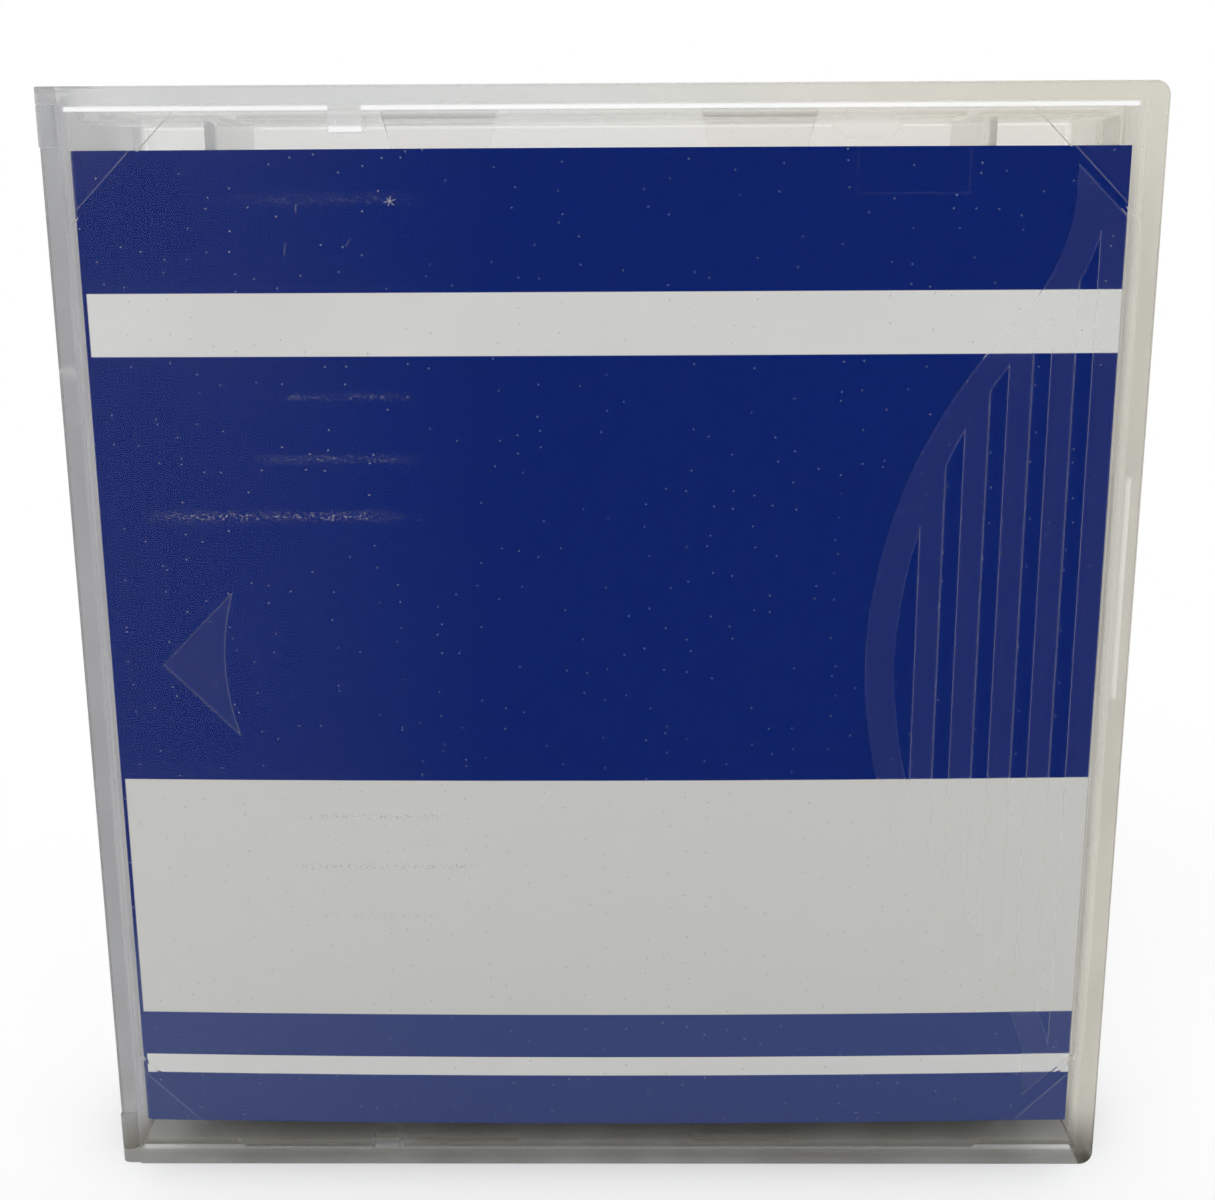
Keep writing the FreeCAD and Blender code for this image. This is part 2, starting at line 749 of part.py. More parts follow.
def make_case_lid():
    """Lid of the case: front panel and three walls, with ears and pins that hinge it to the spine."""
    body = new_body("case_lid")
    sketch = new_sketch(body, panel_inside)
    corner = v.case_corner
    loop(sketch, [
        (lid_left, 0), (case_right - corner, 0, corner), (case_right, corner),
        (case_right, case_height - corner, corner), (case_right - corner, case_height),
        (lid_left, case_height),
    ])
    pad(body, sketch, v.case_panel)
    sketch = new_sketch(body, lid_rim)
    loop(sketch, [
        (inner_right, 0), (case_right - corner, 0, corner), (case_right, corner),
        (case_right, case_height - corner, corner), (case_right - corner, case_height),
        (inner_right, case_height),
    ])
    pad(body, sketch, v.lid_depth)
    ear_front = hinge_z + knuckle_radius
    for high_y in (v.case_wall, case_height):
        sketch = along_y_sketch(body, high_y)
        loop(sketch, [
            (case_left, lid_rim), (inner_right, lid_rim), (inner_right, case_depth),
            (lid_left, case_depth), (lid_left, ear_front), (hinge_x, ear_front, knuckle_radius),
            (case_left, hinge_z),
        ])
        pad(body, sketch, v.case_wall)
    fillet(body, lies_at(case_depth), v.case_edge)
    for high_y in (v.case_wall + v.hinge_pin_reach, case_height - v.case_wall):
        sketch = along_y_sketch(body, high_y)
        circle(sketch, hinge_x, hinge_z, v.hinge_pin_radius)
        pad(body, sketch, v.hinge_pin_reach)
    low, high = v.case_wall, case_height - v.case_wall
    for corner_x, toward in ((lid_left, 1), (inner_right, -1)):
        for corner_y, up in ((low, 1), (high, -1)):
            sketch = new_sketch(body, panel_inside - v.web_thick)
            triangle = [
                (corner_x, corner_y), (corner_x + v.web_leg * toward, corner_y),
                (corner_x, corner_y + v.web_leg * up),
            ]
            loop(sketch, triangle if toward * up > 0 else triangle[::-1])
            pad(body, sketch, v.web_thick)
    stop_left = stop_place - v.stop_width / 2
    stop_right = stop_place + v.stop_width / 2
    pad_box(body, stop_left, high - v.stop_top_drop, stop_right, high, panel_inside - v.stop_thick,
            panel_inside)
    sketch = new_sketch(body, panel_inside - v.stop_thick)
    stop_shoulder = v.stop_height - v.stop_width / 2
    loop(sketch, [
        (stop_left, low), (stop_right, low), (stop_right, stop_shoulder, v.stop_width / 2),
        (stop_left, stop_shoulder),
    ])
    pad(body, sketch, v.stop_thick)
    tab_top = panel_inside - v.card_gap - v.card_thick - v.card_tab_gap
    tab_low = tab_top - v.card_tab_thick
    for side in (-1, 1):
        near_x, far_x = v.card_tab_near * side, v.card_tab_far * side
        for root_y, tip_y in ((low, card_low + v.card_tab_grip),
                              (high, card_high - v.card_tab_grip)):
            sketch = new_sketch(body, tab_low)
            slope = v.card_tab_slope * side
            tab = [(near_x, root_y), (far_x, root_y), (far_x - slope, tip_y), (near_x + slope, tip_y)]
            ahead = side * (1 if root_y is low else -1) > 0
            loop(sketch, tab if ahead else tab[::-1])
            pad(body, sketch, v.card_tab_thick)
    cut_harp(body)
    cut_marks(body)
    cut_box(body, case_right - v.thumb_deep, thumb_height - v.thumb_width / 2, case_right,
            thumb_height + v.thumb_width / 2, lid_rim, lid_rim + v.thumb_reach)
    return stand_up(body)


def harp_rise(x):
    """Half-height of the harp's curved edge at x: a wide arc, then a small one that turns it upright."""
    turn_x = harp_centre - root(v.harp_radius * v.harp_radius - v.harp_turn * v.harp_turn)
    if x.number < turn_x.number:
        reach = harp_centre - x
        return root(v.harp_radius * v.harp_radius - reach * reach)
    ratio = v.harp_end_radius / v.harp_radius
    end_x = turn_x - (harp_centre - turn_x) * ratio
    end_y = v.harp_turn + v.harp_turn * ratio
    reach = x - end_x
    if reach.number >= v.harp_end_radius.number:
        return end_y
    return end_y - root(v.harp_end_radius * v.harp_end_radius - reach * reach)


def cut_harp(body):
    """Sunk frosted field with a bowed left edge, crossed by upright clear bars that stay proud."""
    middle = harp_height
    turn_x = harp_centre - root(v.harp_radius * v.harp_radius - v.harp_turn * v.harp_turn)
    ratio = v.harp_end_radius / v.harp_radius
    end_x = turn_x - (harp_centre - turn_x) * ratio + v.harp_end_radius
    end_rise = v.harp_turn + v.harp_turn * ratio
    sketch = new_sketch(body, case_depth - v.relief_deep)
    loop(sketch, [
        (turn_x, middle + v.harp_turn, v.harp_radius),
        (turn_x, middle - v.harp_turn, -v.harp_end_radius),
        (end_x, middle - end_rise),
        (end_x, middle - v.harp_half),
        (harp_right, middle - v.harp_half + v.harp_web_cut),
        (harp_right, middle + v.harp_half - v.harp_web_cut),
        (end_x, middle + v.harp_half),
        (end_x, middle + end_rise, -v.harp_end_radius),
    ])
    rise = harp_rise(bar_start - v.harp_band)
    loop(sketch, [
        (bar_start, middle + rise, v.harp_radius), (bar_start, middle - rise),
    ])
    for number in range(1, 5):
        left = bar_start + v.bar_width + v.bar_pitch * (number - 1)
        right = bar_start + v.bar_pitch * number
        left_rise = harp_rise(left - v.harp_band)
        right_rise = harp_rise(right - v.harp_band)
        loop(sketch, [
            (left, middle - left_rise), (right, middle - right_rise),
            (right, middle + right_rise), (left, middle + left_rise),
        ])
    cut(body, sketch, v.relief_deep)


def cut_marks(body):
    """Sunk arrow at the opening side and the long hexagon at the top of the lid."""
    sketch = new_sketch(body, case_depth - v.relief_deep)
    middle = harp_height
    loop(sketch, [
        (arrow_tip, middle), (arrow_back, middle - v.arrow_half, -v.arrow_bow),
        (arrow_back, middle + v.arrow_half),
    ])
    cut(body, sketch, v.relief_deep)
    sketch = new_sketch(body, case_depth - v.relief_deep)
    half = (lens_high + lens_low) / 2
    loop(sketch, [
        (lens_left, half), (lens_left + v.lens_nib, lens_low), (lens_right - v.lens_nib, lens_low),
        (lens_right, half), (lens_right - v.lens_nib, lens_high), (lens_left + v.lens_nib, lens_high),
    ])
    cut(body, sketch, v.relief_deep)


def make_inlay_card():
    """Printed card behind the lid's panel, bowed forward in the middle."""
    body = new_body("inlay_card")
    half = (card_right - card_left) / 2
    back = panel_inside - v.card_gap - v.card_thick - v.card_bow
    curve = (half * half + v.card_bow * v.card_bow) / (v.card_bow * 2)
    sketch = along_y_sketch(body, card_high)
    loop(sketch, [
        (card_left, back, -curve), (card_right, back), (card_right, back + v.card_thick, curve),
        (card_left, back + v.card_thick),
    ])
    pad(body, sketch, card_high - card_low)
    return stand_up(body)


# ---------------------------------------------------------------- cartridge shells
def pad_cradle(body, bottom, top):
    """Block with a round pocket, open to the door, that holds one end of the leader pin."""
    front = pin_place - v.cradle_front
    pad_box(body, front, pin_y - v.cradle_side, pin_place + v.cradle_back, pin_y + v.cradle_side,
            bottom, top)
    cut_disc(body, pin_place, pin_y, v.cradle_radius, bottom, top)
    cut_box(body, front, pin_y - v.cradle_radius, pin_place, pin_y + v.cradle_radius, bottom, top)


def slanted(centre_x, centre_y, along, across):
    """Corners of a rectangle turned across the corner, from its centre and its half sizes."""
    corners = []
    for a, b in ((-1, -1), (1, -1), (1, 1), (-1, 1)):
        forward, aside = along * a, across * b
        corners.append((centre_x + (forward + aside) * HALF_ROOT, centre_y + (aside - forward) * HALF_ROOT))
    return corners


def make_lower_shell():
    """Lower half of the cartridge, with the hub hole, reel rim, screw posts and guides moulded in."""
    body = new_body("lower_shell")
    half_x, half_y = v.shell_width / 2, shell_length / 2
    sketch = new_sketch(body)
    rounded(sketch, -half_x, -half_y, half_x, half_y, v.shell_corner)
    pad(body, sketch, shell_seam)
    chamfer(body, lies_at(0), v.shell_edge)
    sketch = new_sketch(body, v.shell_floor)
    rounded(sketch, -inner_half_x, -inner_half_y, inner_half_x, inner_half_y, v.shell_inner_corner)
    cut(body, sketch, shell_seam - v.shell_floor)
    pad_disc(body, 0, 0, rim_radius, v.shell_floor, v.shell_floor + v.rim_height)
    cut_disc(body, 0, 0, hub_hole_radius, 0, v.shell_floor + v.rim_height)
    cut_box(body, -v.shell_width / 2, opening_front, -inner_half_x, opening_back, opening_low, shell_seam)
    pad_cradle(body, v.shell_floor, v.shell_floor + v.cradle_height)
    for side_x in (-1, 1):
        for side_y in (-1, 1):
            x, y = boss_place * side_x, boss_place * side_y
            pad_disc(body, x, y, v.boss_radius, v.shell_floor, shell_seam)
            cut_disc(body, x, y, v.screw_hole_radius, v.head_hole_depth, shell_seam)
            cut_disc(body, x, y, v.head_hole_radius, 0, v.head_hole_depth)
    cut_box(body, door_outer - v.door_gap, door_front - v.door_gap, door_inner + v.door_gap,
            door_back + v.door_travel + v.door_gap * 2, v.shell_floor - v.door_groove_deep, v.shell_floor)
    pad_box(body, -inner_half_x, door_stop, -inner_half_x + door_stop_wide,
            door_stop + v.door_stop_thick, v.shell_floor, v.door_stop_high)
    window_low = v.switch_low + (v.switch_high - v.switch_low - v.switch_thumb_high) / 2 - v.switch_window_gap
    window_high = window_low + v.switch_thumb_high + v.switch_window_gap * 2
    thumb_left = (switch_left + switch_right - v.switch_thumb_wide) / 2
    cut_box(body, thumb_left - v.switch_window_gap, inner_half_y,
            thumb_left + v.switch_thumb_wide + v.switch_travel + v.switch_window_gap, half_y,
            window_low, window_high)
    rib_y = inner_half_y - v.switch_gap * 2 - v.switch_deep
    pad_box(body, switch_left - v.switch_rib_thick, rib_y - v.switch_rib_thick,
            switch_right + v.switch_travel, rib_y, v.shell_floor, v.shell_floor + v.switch_rib_top)
    for side in (-1, 1):
        offset = (v.chip_thick / 2 + v.chip_gap + v.chip_rib_thick / 2) * side * HALF_ROOT
        sketch = new_sketch(body, v.shell_floor)
        loop(sketch, slanted(chip_centre_x + offset, chip_centre_y + offset, v.chip_rib_length / 2,
                             v.chip_rib_thick / 2))
        pad(body, sketch, v.chip_rib_top)
    cut_box(body, label_left, half_y - v.label_deep, label_right, half_y, label_low, shell_seam)
    for side in (-1, 1):
        cut_disc(body, datum_side * side, -datum_back, v.datum_radius, 0, v.datum_depth)
        edge = half_x * side
        inner = (half_x - v.notch_deep) * side
        left, right = (edge, inner) if side < 0 else (inner, edge)
        cut_box(body, left, v.notch_place, right, v.notch_place + v.notch_width, 0, v.notch_height)
    return in_cartridge(body)


def make_upper_shell():
    """Upper half of the cartridge, with the brake's guide post and the spring's seat moulded in."""
    body = new_body("upper_shell")
    half_x, half_y = v.shell_width / 2, shell_length / 2
    top = shell_height
    sketch = new_sketch(body, shell_seam)
    rounded(sketch, -half_x, -half_y, half_x, half_y, v.shell_corner)
    pad(body, sketch, top - shell_seam)
    fillet(body, lies_at(top), v.shell_edge)
    sketch = new_sketch(body, shell_seam)
    rounded(sketch, -inner_half_x, -inner_half_y, inner_half_x, inner_half_y, v.shell_inner_corner)
    cut(body, sketch, ceiling - shell_seam)
    long, thick = v.cross_long / 2, v.cross_thick / 2
    pad_box(body, -long, -thick, long, thick, cross_low, ceiling)
    pad_box(body, -thick, -long, thick, long, cross_low, ceiling)
    pad_disc(body, 0, 0, coil_seat_out, ceiling - v.coil_seat_drop, ceiling, coil_seat_in)
    cut_box(body, -v.shell_width / 2, opening_front, -inner_half_x, opening_back, shell_seam, opening_high)
    pad_cradle(body, ceiling - v.cradle_height, ceiling)
    for side_x in (-1, 1):
        for side_y in (-1, 1):
            x, y = boss_place * side_x, boss_place * side_y
            pad_disc(body, x, y, v.boss_radius, shell_seam, ceiling)
            cut_disc(body, x, y, v.pilot_radius, shell_seam, shell_seam + v.pilot_depth)
    cut_box(body, door_outer - v.door_gap, door_front - v.door_gap, door_inner + v.door_gap,
            door_back + v.door_travel + v.door_gap * 2, ceiling, ceiling + v.door_groove_deep)
    cut_box(body, label_left, half_y - v.label_deep, label_right, half_y, shell_seam, label_high)
    sketch = new_sketch(body, top - v.top_recess_deep)
    rounded(sketch, -v.top_recess_half, v.top_recess_low, v.top_recess_half, v.top_recess_high,
            v.shell_corner)
    cut(body, sketch, v.top_recess_deep)
    sketch = new_sketch(body, top - v.mark_deep)
    loop(sketch, [(0, mark_tip), (v.mark_half, mark_back), (-v.mark_half, mark_back)])
    cut(body, sketch, v.mark_deep)
    for side in (-1, 1):
        far = (half_x - v.grip_inset) * side
        close = (half_x - v.grip_inset - v.grip_length) * side
        left, right = (far, close) if side < 0 else (close, far)
        groove = cut_box(body, left, v.grip_start, right, v.grip_start + v.grip_width, top - v.grip_deep, top)
        row = body.newObject("PartDesign::LinearPattern", "upper_shell_grips")
        row.Originals = [groove]
        row.Direction = (origin_feature(body, "Y_Axis"), [""])
        row.setExpression("Length", (v.grip_pitch * (v.grip_count - 1)).text)
        row.setExpression("Occurrences", v.grip_count.text)
        body.Tip = row
    return in_cartridge(body)


def make_shell_screws():
    """Four cross-head screws that close the shells from below, as one group."""
    body = new_body("shell_screws")
    if "AllowCompound" in body.PropertiesList:
        body.AllowCompound = True
    place = boss_place
    head_top = v.screw_sink + v.screw_head_height
    head = pad_disc(body, place, place, v.screw_head_radius, v.screw_sink, head_top)
    shank = pad_disc(body, place, place, v.screw_radius, head_top, head_top + v.screw_length)
    slots = []
    for long, thick in ((v.screw_slot_half, v.screw_slot_width / 2),
                        (v.screw_slot_width / 2, v.screw_slot_half)):
        slots.append(cut_box(body, place - long, place - thick, place + long, place + thick,
                             v.screw_sink, v.screw_sink + v.screw_slot_deep))
    around(body, [head, shank] + slots, 4)
    return in_cartridge(body)


# ---------------------------------------------------------------- reel
def pad_tooth(body, inner, outer, bottom, top, root_at_bottom=True):
    """One straight-sided tooth that runs outwards along x."""
    sketch = new_sketch(body, inner, "YZ_Plane")
    wide, narrow = v.tooth_root / 2, v.tooth_tip / 2
    low, high = (wide, narrow) if root_at_bottom else (narrow, wide)
    loop(sketch, [(-low, bottom), (low, bottom), (high, top), (-high, top)])
    return pad(body, sketch, outer - inner)


def make_reel_hub():
    """Hub moulded with the lower flange: drive teeth below its web, lock teeth above it."""
    body = new_body("reel_hub")
    revolve(body, [
        (v.web_bore, web_low), (hub_skirt, web_low), (hub_skirt, reel_low),
        (flange_radius, reel_low), (flange_radius, tape_floor), (v.hub_radius, tape_floor),
        (v.hub_radius, flange_seat), (hub_bore, flange_seat), (hub_bore, web_high), (v.web_bore, web_high),
    ])
    drive = pad_tooth(body, drive_tooth_in, drive_tooth_out, web_low - v.drive_tooth_high,
                      web_low, root_at_bottom=False)
    around(body, [drive], v.tooth_count)
    lock = pad_tooth(body, lock_tooth_in, lock_tooth_out, web_high, web_high + v.lock_tooth_high)
    around(body, [lock], v.tooth_count)
    deep, wide = v.leg_deep / 2 + v.leg_gap, v.leg_wide / 2 + v.leg_gap
    hole = cut_box(body, leg_ring - deep, -wide, leg_ring + deep, wide, web_low, web_high)
    around(body, [hole], 3)
    return body


def make_upper_flange():
    """Upper flange, welded on the hub, with a collar that fits inside it."""
    body = new_body("upper_flange")
    collar = hub_bore - v.collar_gap
    inside = collar - v.collar_thick
    top = flange_seat + v.flange_thick
    revolve(body, [
        (inside, flange_seat - v.collar_drop), (collar, flange_seat - v.collar_drop),
        (collar, flange_seat), (flange_radius, flange_seat), (flange_radius, top), (inside, top),
    ])
    return body


def make_drive_disc():
    """Steel disc under the hub's web that a drive's magnet pulls on."""
    body = new_body("drive_disc")
    pad_disc(body, 0, 0, disc_out, web_low - v.disc_thick, web_low, v.disc_in)
    hole = cut_disc(body, disc_hole_ring, 0, v.disc_hole_radius, web_low - v.disc_thick, web_low)
    around(body, [hole], 6)
    return body


def make_tape_pack():
    """The wound tape, all its turns as one solid."""
    body = new_body("tape_pack")
    pad_disc(body, 0, 0, pack_radius, tape_low, tape_high, v.hub_radius + v.reel_gap)
    return body


def make_brake_button():
    """Brake: toothed disc that sits in the hub's lock teeth and slides on the upper shell's post."""
    body = new_body("brake_button")
    dome = plate_high + v.plate_gap
    revolve(body, [
        (0, dome), (v.brake_dome_radius / 2, dome), (v.brake_dome_radius, lock_root),
        (brake_radius, lock_root), (brake_radius, spring_floor), (v.brake_post_radius, spring_floor),
        (v.brake_post_radius, brake_post_top), (0, brake_post_top),
    ])
    long, thick = v.cross_long / 2 + v.cross_gap, v.cross_thick / 2 + v.cross_gap
    cut_box(body, -long, -thick, long, thick, brake_socket_floor, brake_post_top)
    cut_box(body, -thick, -long, thick, long, brake_socket_floor, brake_post_top)
    tooth = pad_tooth(body, lock_tooth_in, lock_tooth_out, web_high + v.mesh_gap, lock_root,
                      root_at_bottom=False)
    around(body, [tooth], v.tooth_count)
    return body


def make_release_plate():
    """Release plate on the hub's web: three legs reach down through it to a drive's chuck."""
    body = new_body("release_plate")
    pad_disc(body, 0, 0, plate_radius, plate_low, plate_high)
    deep, wide = v.leg_deep / 2, v.leg_wide / 2
    leg = pad_box(body, leg_ring - deep, -wide, leg_ring + deep, wide, v.leg_low, plate_low)
    window = cut_disc(body, -plate_window_ring, 0, v.plate_window_radius, plate_low, plate_high)
    around(body, [leg, window], 3)
    return body


def coil(name, radius, wire, turns, height):
    """Round-wire compression spring drawn along its own z axis."""
    body = new_body(name)
    sketch = new_sketch(body, 0, "XZ_Plane")
    circle(sketch, radius, wire, wire)
    item = body.newObject("PartDesign::AdditiveHelix", name + "_helix")
    item.Profile = sketch
    item.ReferenceAxis = (sketch, ["V_Axis"])
    item.Mode = 1
    item.setExpression("Pitch", ((height - wire * 2) / turns).text)
    item.setExpression("Turns", as_size(turns).text)
    return body


# ---------------------------------------------------------------- leader and door
def make_leader_pin():
    """Turned steel pin that a drive takes hold of to draw the tape out."""
    body = new_body("leader_pin")
    low, high = v.pin_low, pin_high
    steps = [
        (v.pin_end_radius, v.pin_end_height), (v.pin_neck_radius, v.pin_neck_height),
        (v.pin_collar_radius, v.pin_collar_height),
    ]
    outline = [(0, low)]
    level = low
    for radius, height in steps:
        outline += [(radius, level), (radius, level + height)]
        level = level + height
    outline += [(v.pin_body_radius, level)]
    level = high - (level - low)
    outline += [(v.pin_body_radius, level)]
    for radius, height in steps[::-1]:
        outline += [(radius, level), (radius, level + height)]
        level = level + height
    outline += [(0, high)]
    revolve(body, outline)
    return body


def make_leader_clip():
    """Plastic sleeve, open down one side, that clamps the end of the tape on the pin."""
    body = new_body("leader_clip")
    margin = v.pin_end_height + v.pin_neck_height + v.pin_collar_height + v.clip_inset
    low, high = v.pin_low + margin, pin_high - margin
    outer = clip_radius + v.clip_thick
    pad_disc(body, 0, 0, outer, low, high, clip_radius)
    cut_box(body, 0, -outer - v.clip_thick, outer + v.clip_thick, -v.pin_body_radius + v.clip_gap, low, high)
    return body


def make_pin_springs():
    """Two open steel rings that hold the pin's ends in their cradles."""
    body = new_body("pin_springs")
    if "AllowCompound" in body.PropertiesList:
        body.AllowCompound = True
    inner = v.pin_end_radius + v.retainer_gap
    outer = inner + v.retainer_thick
    margin = (v.pin_end_height - v.retainer_height) / 2
    for bottom in (v.pin_low + margin, pin_high - margin - v.retainer_height):
        pad_disc(body, 0, 0, outer, bottom, bottom + v.retainer_height, inner)
    mouth = v.retainer_mouth
    cut_box(body, -outer - mouth, -mouth, 0, mouth, v.pin_low, pin_high)
    return body


def make_leader_tape():
    """Free stretch of tape from the pack to the leader pin."""
    body = new_body("leader_tape")
    pad_box(body, pin_place, lead_y - v.tape_film / 2, 0, lead_y + v.tape_film / 2, tape_low, tape_high)
    return body


def make_access_door():
    """Sliding door over the leader pin's opening, with a ridge for the drive and a spring seat."""
    body = new_body("access_door")
    groove_floor = v.shell_floor - v.door_groove_deep
    groove_roof = ceiling + v.door_groove_deep
    pad_box(body, door_outer, door_front, door_inner, door_back, groove_floor + v.door_gap,
            groove_roof - v.door_gap)
    ridge_low = opening_front + v.door_gap * 2
    pad_box(body, door_outer - v.door_ridge_reach, ridge_low, door_outer, ridge_low + v.door_ridge_width,
            v.door_ridge_low, v.door_ridge_high)
    middle = (groove_floor + groove_roof) / 2
    seat_inner = door_outer + (v.door_coil_radius + v.door_coil_wire) * 2
    pad_box(body, door_inner, door_back - v.door_seat_thick, seat_inner, door_back,
            middle - v.door_seat_high / 2, middle + v.door_seat_high / 2)
    return body


def make_write_protect_switch():
    """Slider behind the window in the rear edge, with a ribbed thumb piece."""
    body = new_body("write_protect_switch")
    back = inner_half_y - v.switch_gap
    middle_z = (v.switch_low + v.switch_high) / 2
    middle_x = (switch_left + switch_right) / 2
    pad_box(body, switch_left, back - v.switch_deep, switch_right, back, v.switch_low, v.switch_high)
    tip = shell_length / 2 - v.switch_thumb_sunk
    half_wide, half_high = v.switch_thumb_wide / 2, v.switch_thumb_high / 2
    pad_box(body, middle_x - half_wide, back, middle_x + half_wide, tip, middle_z - half_high,
            middle_z + half_high)
    half_groove = v.switch_groove_wide / 2
    for side in (-1, 1):
        centre = middle_x + v.switch_groove_place * side
        cut_box(body, centre - half_groove, tip - v.switch_groove_wide, centre + half_groove, tip,
                middle_z - half_high, middle_z + half_high)
    return body


def make_memory_chip():
    """Moulded memory chip that stands across one corner of the cartridge."""
    body = new_body("memory_chip")
    sketch = new_sketch(body, v.shell_floor + v.chip_gap)
    loop(sketch, slanted(chip_centre_x, chip_centre_y, v.chip_length / 2, v.chip_thick / 2))
    pad(body, sketch, v.chip_height)
    return body


def make_cartridge_label():
    """Blank paper label in the recess of the rear edge."""
    body = new_body("cartridge_label")
    floor = shell_length / 2 - v.label_deep
    pad_box(body, label_left + v.label_margin, floor, label_right - v.label_margin,
            floor + v.label_thick, label_low + v.label_margin, label_high - v.label_margin)
    return body


# ---------------------------------------------------------------- assembly
half_tooth = 180.0 / v.tooth_count.number

PIECES = [
    make_case_base(),
    make_case_lid(),
    make_inlay_card(),
    make_lower_shell(),
    make_upper_shell(),
    make_shell_screws(),
]
for maker in (make_reel_hub, make_drive_disc, make_release_plate):
    PIECES.append(in_cartridge(maker(), half_tooth))
for maker in (make_upper_flange, make_tape_pack, make_brake_button, make_leader_tape, make_access_door,
              make_write_protect_switch, make_memory_chip, make_cartridge_label):
    PIECES.append(in_cartridge(maker()))
for maker in (make_leader_pin, make_leader_clip, make_pin_springs):
    PIECES.append(stand_up(maker(), cartridge_x + pin_place, cartridge_y + pin_y, seat_z))

brake_coil_height = ceiling - spring_floor - v.coil_end_gap * 2
PIECES.append(stand_up(coil("brake_spring", coil_radius, v.coil_wire, v.coil_turns, brake_coil_height),
                       cartridge_x, cartridge_y, seat_z + spring_floor + v.coil_end_gap))
door_coil_height = door_stop - door_back - v.coil_end_gap * 2
door_middle = shell_height / 2
PIECES.append(stand_up(coil("door_spring", v.door_coil_radius, v.door_coil_wire, v.door_coil_turns,
                            door_coil_height),
                       cartridge_x + door_coil_x, cartridge_y + door_back + v.coil_end_gap,
                       seat_z + door_middle,
                       upright=True))

doc.recompute()
for item in doc.Objects:
    if {"Invalid", "Error"} & set(item.State):
        raise RuntimeError("%s failed: %s" % (item.Label, item.State))
for piece in PIECES:
    if piece.Shape.isNull() or not piece.Shape.isValid() or not piece.Shape.Solids:
        raise RuntimeError("%s has no valid solid" % piece.Label)

os.makedirs("parts", exist_ok=True)
for piece in PIECES:
    piece.Shape.exportStep("parts/%s.step" % piece.Label)
    box = piece.Shape.BoundBox
    print("%-22s %d solid %10.2f mm3  x %.2f..%.2f  y %.2f..%.2f  z %.2f..%.2f" % (
        piece.Label, len(piece.Shape.Solids), piece.Shape.Volume, box.XMin, box.XMax, box.YMin, box.YMax,
        box.ZMin, box.ZMax))
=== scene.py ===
import json
import math

import bpy
from mathutils import Matrix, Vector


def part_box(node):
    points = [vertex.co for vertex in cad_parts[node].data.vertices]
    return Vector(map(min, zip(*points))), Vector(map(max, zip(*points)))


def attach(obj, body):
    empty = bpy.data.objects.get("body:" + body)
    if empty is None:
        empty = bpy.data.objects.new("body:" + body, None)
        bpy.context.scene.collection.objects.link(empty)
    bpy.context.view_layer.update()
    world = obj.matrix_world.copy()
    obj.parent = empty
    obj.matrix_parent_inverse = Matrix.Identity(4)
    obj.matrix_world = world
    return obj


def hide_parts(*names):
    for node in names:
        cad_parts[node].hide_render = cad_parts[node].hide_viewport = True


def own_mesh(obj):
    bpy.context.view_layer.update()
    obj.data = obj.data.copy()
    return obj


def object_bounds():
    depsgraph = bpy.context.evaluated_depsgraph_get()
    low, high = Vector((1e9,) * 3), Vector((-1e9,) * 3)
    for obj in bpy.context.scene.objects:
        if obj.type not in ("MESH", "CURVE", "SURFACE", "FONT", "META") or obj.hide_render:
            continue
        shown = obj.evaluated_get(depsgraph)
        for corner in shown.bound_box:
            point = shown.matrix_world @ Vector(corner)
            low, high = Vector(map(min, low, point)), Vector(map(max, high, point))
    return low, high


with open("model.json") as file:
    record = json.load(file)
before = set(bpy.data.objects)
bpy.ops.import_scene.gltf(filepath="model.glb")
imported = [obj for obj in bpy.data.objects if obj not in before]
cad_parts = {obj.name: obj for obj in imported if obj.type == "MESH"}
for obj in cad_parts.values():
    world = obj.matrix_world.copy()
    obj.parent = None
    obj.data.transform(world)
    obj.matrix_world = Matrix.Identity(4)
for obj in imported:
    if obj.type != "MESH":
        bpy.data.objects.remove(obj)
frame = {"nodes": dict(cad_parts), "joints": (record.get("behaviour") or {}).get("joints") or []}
pieces = frame["nodes"]
cad_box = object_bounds()


# Cartridge shells. Two trays of glass-filled polycarbonate, charcoal right through, closed face to face
# by four screws. Their outsides carry the fine even grain of a spark-eroded mould, a little smoother
# where hands and drives have rubbed them.
class Wire:
    """A socket in a finish. Arithmetic on wires adds the Math nodes that work it out."""

    def __init__(self, finish, socket):
        self.finish = finish
        self.socket = socket

    def math(self, operation, *values):
        return self.finish.node("ShaderNodeMath", {"operation": operation}, dict(enumerate(values)))

    def __add__(self, other):
        return self.math("ADD", self, other)

    def __sub__(self, other):
        return self.math("SUBTRACT", self, other)

    def __rsub__(self, other):
        return self.math("SUBTRACT", other, self)

    def __mul__(self, other):
        return self.math("MULTIPLY", self, other)

    def __truediv__(self, other):
        return self.math("DIVIDE", self, other)

    def __pow__(self, other):
        return self.math("POWER", self, other)

    def __abs__(self):
        return self.math("ABSOLUTE", self)

    __radd__ = __add__
    __rmul__ = __mul__

    def step(self, low, high, start=0.0, end=1.0):
        """Goes smoothly from start to end while the value goes from low to high."""
        return self.finish.node("ShaderNodeMapRange", {"interpolation_type": "SMOOTHSTEP"}, {
            "Value": self, "From Min": low, "From Max": high, "To Min": start, "To Max": end,
        })

    def at_least(self, value):
        return self.math("MAXIMUM", self, value)

    def at_most(self, value):
        return self.math("MINIMUM", self, value)

    def past(self, value):
        """Exactly one beyond that value and nothing short of it, so that a mix skips its other side."""
        return self.math("GREATER_THAN", self, value)

    def beside(self, output):
        """Another output of the same node."""
        return Wire(self.finish, self.socket.node.outputs[output])

    def between(self, low, high, soft=0.05):
        """One from low to high and nothing outside, with edges that soft."""
        return self.step(low - soft, low + soft) * self.step(high - soft, high + soft, 1.0, 0.0)


